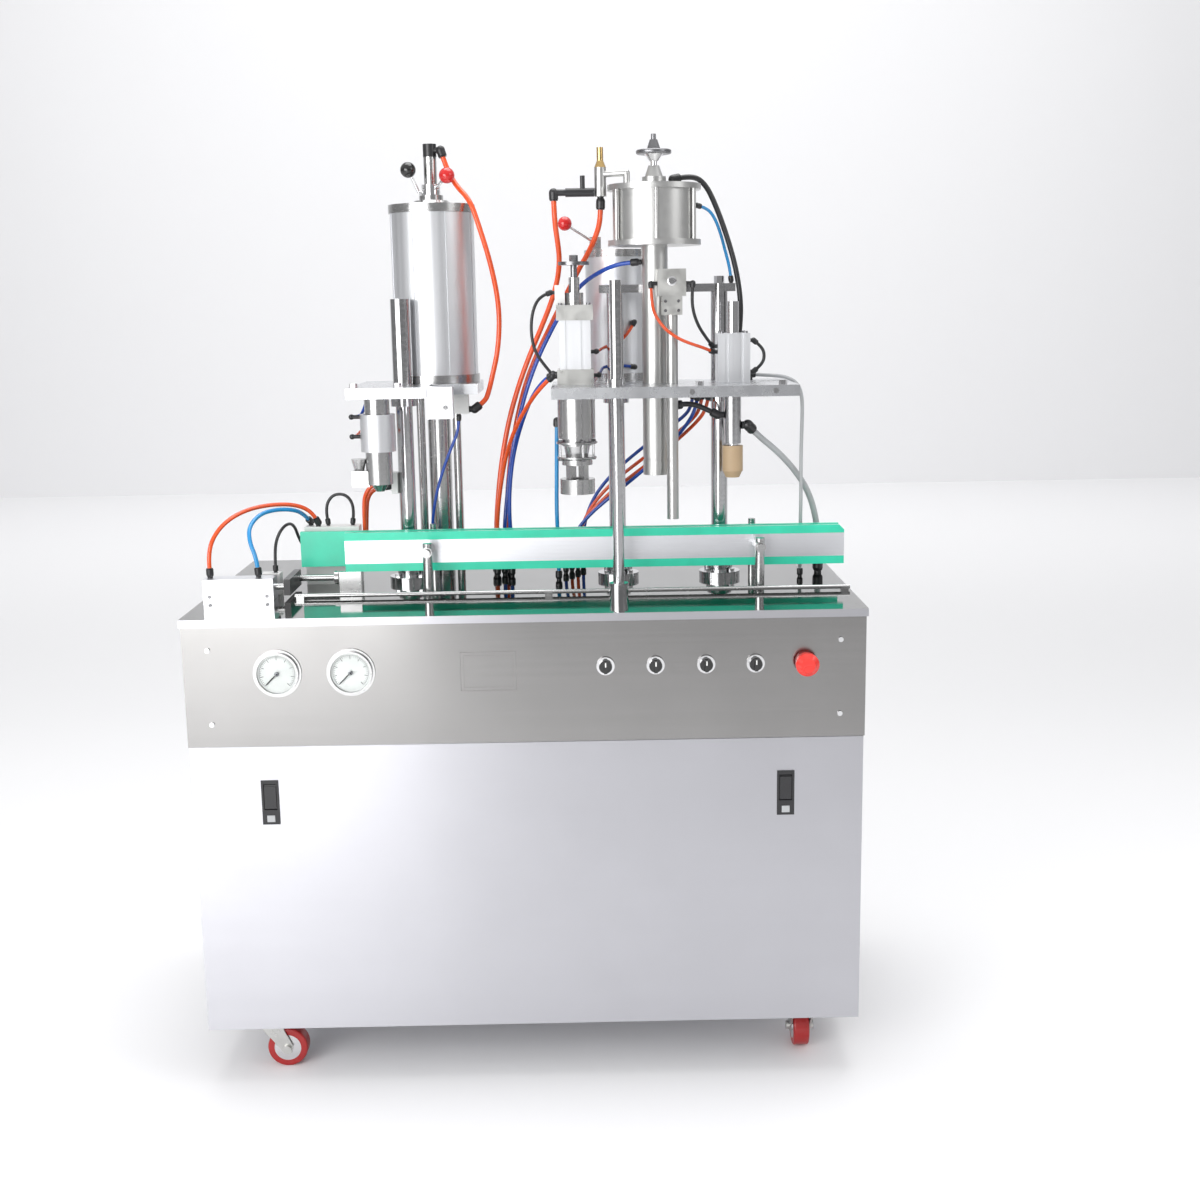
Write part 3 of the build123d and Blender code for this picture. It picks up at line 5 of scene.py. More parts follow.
import bmesh
import bpy
from mathutils import Matrix, Vector


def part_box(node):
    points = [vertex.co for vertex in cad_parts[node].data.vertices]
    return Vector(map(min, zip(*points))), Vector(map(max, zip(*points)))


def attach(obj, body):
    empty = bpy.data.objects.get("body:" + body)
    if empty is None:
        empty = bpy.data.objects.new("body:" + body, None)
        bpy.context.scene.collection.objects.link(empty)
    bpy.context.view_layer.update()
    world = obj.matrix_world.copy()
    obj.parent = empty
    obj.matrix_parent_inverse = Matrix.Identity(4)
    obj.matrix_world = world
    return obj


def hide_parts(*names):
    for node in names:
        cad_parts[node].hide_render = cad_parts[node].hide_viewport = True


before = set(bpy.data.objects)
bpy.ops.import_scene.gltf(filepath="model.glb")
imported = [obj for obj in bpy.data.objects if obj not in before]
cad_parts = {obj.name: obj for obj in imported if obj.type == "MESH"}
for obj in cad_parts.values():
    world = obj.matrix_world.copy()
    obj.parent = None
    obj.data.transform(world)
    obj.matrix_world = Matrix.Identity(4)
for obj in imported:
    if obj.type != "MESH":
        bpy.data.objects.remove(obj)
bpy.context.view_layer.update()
scene = bpy.context.scene


# ---- camera, floor and light -----------------------------------------------------------------------------
focal_length = 45.65
camera_place = Vector((0.1066, -2.9201, 1.401))
camera_pitch = radians(10.931)
camera_yaw = radians(0.585)
camera_roll = radians(-0.908)


def make_camera():
    """The camera, from its place and its pitch below the horizon, yaw and roll."""
    flat = Vector((sin(camera_yaw), cos(camera_yaw), 0))
    forward = flat * cos(camera_pitch) - Vector((0, 0, sin(camera_pitch)))
    level_right = Vector((cos(camera_yaw), -sin(camera_yaw), 0))
    level_up = level_right.cross(forward)
    right = level_right * cos(camera_roll) + level_up * sin(camera_roll)
    up = level_up * cos(camera_roll) - level_right * sin(camera_roll)
    data = bpy.data.cameras.new("camera")
    data.lens = focal_length
    data.sensor_width = 36
    data.sensor_fit = "HORIZONTAL"
    data.clip_end = 60
    camera = bpy.data.objects.new("camera", data)
    turn = Matrix((right, up, -forward)).transposed()
    camera.matrix_world = Matrix.Translation(camera_place) @ turn.to_4x4()
    scene.collection.objects.link(camera)
    scene.camera = camera


def area_light(name, place, target, size, power):
    """A soft square light that looks at its target."""
    data = bpy.data.lights.new(name, "AREA")
    data.shape = "RECTANGLE"
    data.size, data.size_y = size
    data.energy = power
    light = bpy.data.objects.new(name, data)
    light.location = place
    light.rotation_euler = (Vector(target) - Vector(place)).to_track_quat("-Z", "Y").to_euler()
    scene.collection.objects.link(light)


def make_world():
    """A soft studio surround: grey below, darkest about the horizon and white above, for steel to reflect."""
    world = bpy.data.worlds.new("studio")
    scene.world = world
    world.use_nodes = True
    tree = world.node_tree
    place = tree.nodes.new("ShaderNodeTexCoord")
    split = tree.nodes.new("ShaderNodeSeparateXYZ")
    tree.links.new(place.outputs["Generated"], split.inputs[0])
    ramp = tree.nodes.new("ShaderNodeValToRGB")
    steps = ramp.color_ramp
    steps.elements[0].position = 0.0
    steps.elements[0].color = (0.40, 0.40, 0.41, 1)
    steps.elements[1].position = 1.0
    steps.elements[1].color = (1, 1, 1, 1)
    for position, level in ((0.46, 0.30), (0.54, 0.34), (0.68, 0.78)):
        step = steps.elements.new(position)
        step.color = (level, level, level * 1.01, 1)
    scale = tree.nodes.new("ShaderNodeMapRange")
    scale.inputs["From Min"].default_value = -1
    tree.links.new(split.outputs["Z"], scale.inputs["Value"])
    tree.links.new(scale.outputs["Result"], ramp.inputs["Fac"])
    ground = tree.nodes["Background"]
    ground.inputs["Strength"].default_value = 0.9
    tree.links.new(ramp.outputs["Color"], ground.inputs["Color"])


def flat_stage(name, corners, material):
    """A four-cornered face that isn't part of the object."""
    mesh = bpy.data.meshes.new(name)
    mesh.from_pydata(corners, [], [range(4)])
    mesh.materials.append(material)
    piece = bpy.data.objects.new(name, mesh)
    scene.collection.objects.link(piece)


def make_stage():
    """The pale floor and a pale wall well behind the machine."""
    pale = plain_material("stage_pale", (0.86, 0.86, 0.87), 0.9)
    flat_stage("floor", [(-14, -14, 0), (14, -14, 0), (14, 9, 0), (-14, 9, 0)], pale)
    flat_stage("wall", [(-14, 9, 0), (14, 9, 0), (14, 9, 12), (-14, 9, 12)], pale)


# ---- material parts --------------------------------------------------------------------------------------
def new_material(name):
    """An empty principled material, its node tree and its shader."""
    material = bpy.data.materials.new(name)
    material.use_nodes = True
    return material, material.node_tree, material.node_tree.nodes["Principled BSDF"]


def plain_material(name, color, roughness):
    """For the stage only."""
    material, _, shader = new_material(name)
    shader.inputs["Base Color"].default_value = (*color, 1)
    shader.inputs["Roughness"].default_value = roughness
    return material


def noise(tree, stretch, scale, detail=4.0):
    """Noise in the object's own coordinates, drawn out along its small stretches."""
    place = tree.nodes.new("ShaderNodeTexCoord")
    mapping = tree.nodes.new("ShaderNodeMapping")
    mapping.inputs["Scale"].default_value = stretch
    texture = tree.nodes.new("ShaderNodeTexNoise")
    texture.inputs["Scale"].default_value = scale
    texture.inputs["Detail"].default_value = detail
    tree.links.new(place.outputs["Object"], mapping.inputs["Vector"])
    tree.links.new(mapping.outputs["Vector"], texture.inputs["Vector"])
    return texture.outputs["Fac"]


def spread(tree, factor, low, high):
    """A number that runs from low to high with the factor."""
    scale = tree.nodes.new("ShaderNodeMapRange")
    scale.inputs["From Min"].default_value = 0.3
    scale.inputs["From Max"].default_value = 0.7
    scale.inputs["To Min"].default_value = low
    scale.inputs["To Max"].default_value = high
    tree.links.new(factor, scale.inputs["Value"])
    return scale.outputs["Result"]


def tint(tree, factor, dark, light):
    """A colour between two near ones."""
    ramp = tree.nodes.new("ShaderNodeValToRGB")
    ramp.color_ramp.elements[0].position = 0.3
    ramp.color_ramp.elements[0].color = (*dark, 1)
    ramp.color_ramp.elements[1].position = 0.7
    ramp.color_ramp.elements[1].color = (*light, 1)
    tree.links.new(factor, ramp.inputs["Fac"])
    return ramp.outputs["Color"]


def bumped(tree, shader, factor, strength, depth):
    """Raises the surface by the factor."""
    bump = tree.nodes.new("ShaderNodeBump")
    bump.inputs["Strength"].default_value = strength
    bump.inputs["Distance"].default_value = depth
    tree.links.new(factor, bump.inputs["Height"])
    tree.links.new(bump.outputs["Normal"], shader.inputs["Normal"])


def brushed(tree, shader, amount):
    """Spreads reflections across a horizontal grain."""
    along = tree.nodes.new("ShaderNodeTangent")
    along.direction_type = "RADIAL"
    along.axis = "Z"
    tree.links.new(along.outputs["Tangent"], shader.inputs["Tangent"])
    shader.inputs["Anisotropic"].default_value = amount
    shader.inputs["Anisotropic Rotation"].default_value = 0.25


def metal(name, color, roughness, stretch=(40, 40, 40), scale=3.0, bump=0.08, contrast=0.06, sheen=0.0,
          cloudy=0.06):
    """Metal with a grain: the stretch is small along the grain and large across it."""
    material, tree, shader = new_material(name)
    grain = noise(tree, stretch, scale)
    cloud = noise(tree, (1, 1, 1), 7.0, 2.0)
    low = tuple(c * (1 - cloudy) for c in color)
    high = tuple(min(1, c * (1 + cloudy)) for c in color)
    tree.links.new(tint(tree, cloud, low, high), shader.inputs["Base Color"])
    tree.links.new(spread(tree, grain, max(0.02, roughness - contrast), roughness + contrast),
                   shader.inputs["Roughness"])
    shader.inputs["Metallic"].default_value = 1.0
    bumped(tree, shader, grain, bump, 0.0004)
    if sheen:
        brushed(tree, shader, sheen)
    return material


def plastic(name, color, roughness, scale=400.0, bump=0.08, coat=0.0):
    """Moulded plastic with a faint texture."""
    material, tree, shader = new_material(name)
    grain = noise(tree, (1, 1, 1), scale, 3.0)
    cloud = noise(tree, (1, 1, 1), 14.0, 3.0)
    low = tuple(c * 0.88 for c in color)
    high = tuple(min(1, c * 1.08) for c in color)
    tree.links.new(tint(tree, cloud, low, high), shader.inputs["Base Color"])
    tree.links.new(spread(tree, cloud, roughness - 0.04, roughness + 0.06), shader.inputs["Roughness"])
    shader.inputs["Coat Weight"].default_value = coat
    bumped(tree, shader, grain, bump, 0.0002)
    return material


def glass(name):
    """A thin clear window."""
    material, tree, shader = new_material(name)
    smear = noise(tree, (1, 1, 1), 30.0, 2.0)
    tree.links.new(spread(tree, smear, 0.02, 0.07), shader.inputs["Roughness"])
    shader.inputs["Base Color"].default_value = (0.96, 0.98, 0.98, 1)
    shader.inputs["Transmission Weight"].default_value = 1.0
    shader.inputs["IOR"].default_value = 1.12
    return material


across_x = (0.6, 60, 60)  # grain along X
across_z = (60, 60, 0.6)  # grain along Z
turned = (30, 30, 90)  # the fine rings of a turned piece

steel_sheet = metal("steel_sheet", (0.53, 0.53, 0.56), 0.30, across_x, 2.2, 0.012, 0.015, 0.8, 0.015)
steel_fascia = metal("steel_fascia", (0.31, 0.305, 0.30), 0.20, across_x, 2.2, 0.012, 0.02, 0.7, 0.03)
deck_mirror = metal("deck_mirror", (0.20, 0.202, 0.198), 0.06, (3, 3, 3), 2.0, 0.008, 0.03)
frame_steel = metal("frame_steel", (0.48, 0.48, 0.49), 0.38, (30, 30, 30), 2.0)
column_steel = metal("column_steel", (0.54, 0.54, 0.55), 0.14, turned, 2.0, 0.03, 0.05)
turned_steel = metal("turned_steel", (0.50, 0.50, 0.50), 0.24, turned, 2.5, 0.03, 0.04)
plate_steel = metal("plate_steel", (0.62, 0.63, 0.65), 0.27, (20, 20, 20), 2.0, 0.008, 0.03)
drum_steel = metal("drum_steel", (0.58, 0.58, 0.57), 0.34, turned, 2.0, 0.02, 0.04)
cylinder_aluminium = metal("cylinder_aluminium", (0.76, 0.77, 0.79), 0.40, across_z, 2.0, 0.015, 0.04,
                           cloudy=0.02)
rail_aluminium = metal("rail_aluminium", (0.80, 0.81, 0.84), 0.34, across_x, 1.2, 0.01, 0.03, cloudy=0.02)
zinc = metal("zinc", (0.58, 0.58, 0.56), 0.34, (14, 14, 14), 3.0, 0.10, 0.10)
brass = metal("brass", (0.66, 0.46, 0.20), 0.24, turned, 2.0, 0.05, 0.06)
chrome = metal("chrome", (0.74, 0.74, 0.75), 0.10, (20, 20, 20), 2.0, 0.02, 0.04)
dark_steel = metal("dark_steel", (0.24, 0.24, 0.25), 0.30, turned, 2.0, 0.06, 0.08)
guide_green = plastic("guide_green", (0.035, 0.66, 0.43), 0.33, 300.0, 0.05, 0.15)
white_moulding = plastic("white_moulding", (0.78, 0.78, 0.77), 0.38, 300.0, 0.04, 0.1)
grey_moulding = plastic("grey_moulding", (0.42, 0.43, 0.44), 0.42, 300.0, 0.06)
tan_moulding = plastic("tan_moulding", (0.50, 0.36, 0.22), 0.50, 160.0, 0.16)
black_moulding = plastic("black_moulding", (0.016, 0.016, 0.018), 0.34, 350.0, 0.05, 0.2)
black_texture = plastic("black_texture", (0.020, 0.020, 0.022), 0.52, 900.0, 0.30)
red_gloss = plastic("red_gloss", (0.62, 0.012, 0.012), 0.16, 300.0, 0.01, 0.5)
black_gloss = plastic("black_gloss", (0.010, 0.010, 0.010), 0.12, 300.0, 0.01, 0.5)
stop_red = plastic("stop_red", (0.80, 0.03, 0.02), 0.28, 300.0, 0.02, 0.4)
wheel_red = plastic("wheel_red", (0.36, 0.012, 0.012), 0.36, 240.0, 0.06, 0.2)
dial_white = plastic("dial_white", (0.86, 0.86, 0.84), 0.45, 300.0, 0.01)
ink_black = plastic("ink_black", (0.02, 0.02, 0.02), 0.50, 300.0, 0.01)
etch_grey = plastic("etch_grey", (0.20, 0.19, 0.19), 0.55, 300.0, 0.02)
window_glass = glass("window_glass")
hose_orange = plastic("hose_orange", (0.78, 0.085, 0.012), 0.24, 200.0, 0.02, 0.4)
hose_blue = plastic("hose_blue", (0.012, 0.07, 0.42), 0.24, 200.0, 0.02, 0.4)
hose_sky = plastic("hose_sky", (0.02, 0.28, 0.62), 0.22, 200.0, 0.02, 0.4)
hose_black = plastic("hose_black", (0.014, 0.014, 0.016), 0.34, 200.0, 0.04, 0.2)
hose_grey = plastic("hose_grey", (0.40, 0.41, 0.42), 0.40, 200.0, 0.04, 0.1)


# ---- places on the machine, in metres --------------------------------------------------------------------
front_y = -0.315
deck_z = 0.875
plate_bottom = 1.238
lane_y = -0.035
gauge_z = 0.777
gauge_xs = (-0.435, -0.306)
dial_radius = 0.0349
dial_y = (-0.3195, -0.3185)
knob_xs = (0.141, 0.229, 0.318, 0.405)
stop_left = 0.46
crimp_x = 0.097
crimp_top = 1.404
crimp_barrel_z = (1.286, 1.376)
drum_x = 0.247
drum_tube_radius = 0.0245
drum_top = 1.652
valve_x = 0.276
valve_left = 0.249
valve_z = (1.383, 1.467)
valve_high_y = -0.086
valve_low_y = -0.084
gas_x = 0.392
gas_top = 1.348
hub_radius = 0.025
ball_reach = 0.0153
dosing_balls = (Vector((-0.219, 0.118, 1.664)), Vector((-0.142, 0.084, 1.650)))
plaque = (-0.114, -0.016, 0.739, 0.809)
skin = 0.0001  # how far a test stands off the face that it must tell apart

# where the material changes within one node
shell_back = 0.3155
lock_top = 0.518
lock_front = -0.3171
rod_collar_x = (-0.4525, -0.4395)
dosing_barrel_z = (1.2741, 1.5819)
fill_barrel_top = 1.2079
rear_barrel_z = (1.2721, 1.4939)
brass_right = 0.165
handwheel_foot = 1.6719
gas_barrel_bottom = 1.2579
nozzle_tip_top = 1.1381
valve_ball_right = 0.098
rear_block_y = 0.2
head_block_z = 1.5079


# ---- painting the CAD nodes ------------------------------------------------------------------------------
def paint(node, *rules):
    """Gives a CAD node its materials: a rule is a material, or a material and a test of a face's middle."""
    mesh = bpy.data.objects[node].data
    mesh.materials.clear()
    for number, rule in enumerate(rules):
        material, test = rule if isinstance(rule, tuple) else (rule, None)
        mesh.materials.append(material)
        for face in mesh.polygons:
            if test is None or test(face.center):
                face.material_index = number
    for face in mesh.polygons:
        face.use_smooth = True
    mesh.set_sharp_from_angle(angle=radians(32))


def outside(low, high):
    """A test for faces below one height or above another."""
    return lambda c: c.z < low or c.z > high


def on_dial(c):
    """Whether a point lies on the face of a gauge, inside its rim."""
    flat = dial_y[0] < c.y < dial_y[1]
    return flat and any((Vector((c.x, c.z)) - Vector((x, gauge_z))).length < dial_radius for x in gauge_xs)


def on_ball(c):
    """Whether a point belongs to a dosing lever's ball and not to its collar or arm."""
    return any((c - ball).length < ball_reach for ball in dosing_balls)


def on_valve_block(c):
    """Whether a point belongs to the block on the stay tube, and not to the drum's own tube behind it."""
    in_front = c.y < -0.0575 and c.x > valve_left and valve_z[0] < c.z < valve_z[1]
    return in_front and (c - Vector((drum_x, lane_y, c.z))).length > drum_tube_radius + skin


def on_bracket(c):
    """Whether a point belongs to the small clamp under the left plate."""
    return -0.1812 < c.x < -0.1328 and -0.0705 < c.y < -0.0295 and c.z < 1.2585


def on_hub(middle, turned_out):
    """A test for the faces of a caster's hub, from the wheel's middle and the axle's direction."""
    def test(c):
        offset = c - middle
        along = offset.x if turned_out else offset.y
        return Vector((along, offset.z)).length < hub_radius + skin
    return test


def paint_cad():
    """Every node that stays as the CAD made it."""
    paint("cabinet_frame", frame_steel)
    paint("cabinet_shell", steel_sheet, (zinc, lambda c: c.y > shell_back))
    paint("control_fascia", steel_fascia)
    paint("front_panel", steel_sheet)
    paint("deck", deck_mirror, (steel_sheet, lambda c: c.z < deck_z - skin))
    paint("fasteners", chrome)
    paint("latch_housings", black_texture, (grey_moulding, lambda c: c.z < lock_top and c.y < lock_front))
    paint("gauge_cases", turned_steel, (dial_white, on_dial))
    paint("gauge_lenses", window_glass)
    paint("switch_bodies", chrome, (grey_moulding, lambda c: c.y > front_y + skin),
          (stop_red, lambda c: c.x > stop_left and c.y < front_y - skin))
    for side in ("left", "right"):
        paint(f"latch_paddle_{side}", black_moulding)
        paint(f"gauge_needle_{side}", ink_black)
    for number in range(1, 5):
        paint(f"selector_knob_{number}", black_gloss)
    paint("emergency_stop_button", stop_red)
    for name in ("front_left", "front_right", "rear_left", "rear_right"):
        paint(f"caster_fork_{name}", zinc)
        middle = sum(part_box(f"caster_wheel_{name}"), Vector()) / 2
        paint(f"caster_wheel_{name}", wheel_red, (chrome, on_hub(middle, name.endswith("left"))))
    paint("columns", column_steel)
    paint("station_plates", plate_steel, (rail_aluminium, on_bracket))
    paint("front_guide_rail", rail_aluminium)
    paint("guide_strips", guide_green)
    paint("guide_brackets", turned_steel)
    paint("pusher_cylinder", rail_aluminium)
    paint("pusher_slide", turned_steel, (black_moulding, lambda c: rod_collar_x[0] < c.x < rod_collar_x[1]))
    paint("dosing_cylinder", cylinder_aluminium, (turned_steel, outside(*dosing_barrel_z)))
    paint("dosing_piston", turned_steel)
    paint("metering_tube", turned_steel)
    paint("dosing_lever_black", chrome, (black_gloss, on_ball))
    paint("dosing_lever_red", chrome, (red_gloss, on_ball))
    paint("fill_head", cylinder_aluminium, (turned_steel, lambda c: c.z > fill_barrel_top))
    paint("fill_valve", turned_steel)
    paint("crimp_cylinder", cylinder_aluminium,
          (zinc, outside(crimp_barrel_z[0] + skin, crimp_barrel_z[1] - skin)),
          (turned_steel, outside(plate_bottom + skin, crimp_top + skin)))
    paint("crimp_head", turned_steel)
    paint("crimp_adjuster", dark_steel)
    paint("rear_cylinder", cylinder_aluminium, (turned_steel, outside(*rear_barrel_z)))
    paint("drum", drum_steel, (zinc, on_valve_block),
          (brass, lambda c: c.z > drum_top - skin and c.x < brass_right))
    paint("drum_handwheel", dark_steel, (chrome, lambda c: c.z < handwheel_foot))
    paint("gas_cylinder", cylinder_aluminium, (column_steel, lambda c: c.z < gas_barrel_bottom))
    paint("gas_nozzle", chrome, (tan_moulding, lambda c: c.z < nozzle_tip_top))
    paint("valve_lever", chrome, (red_gloss, lambda c: c.x < valve_ball_right))
    paint("valve_blocks", white_moulding, (grey_moulding, lambda c: c.y > rear_block_y),
          (turned_steel, lambda c: c.z > head_block_z))
    paint("fittings", black_moulding)


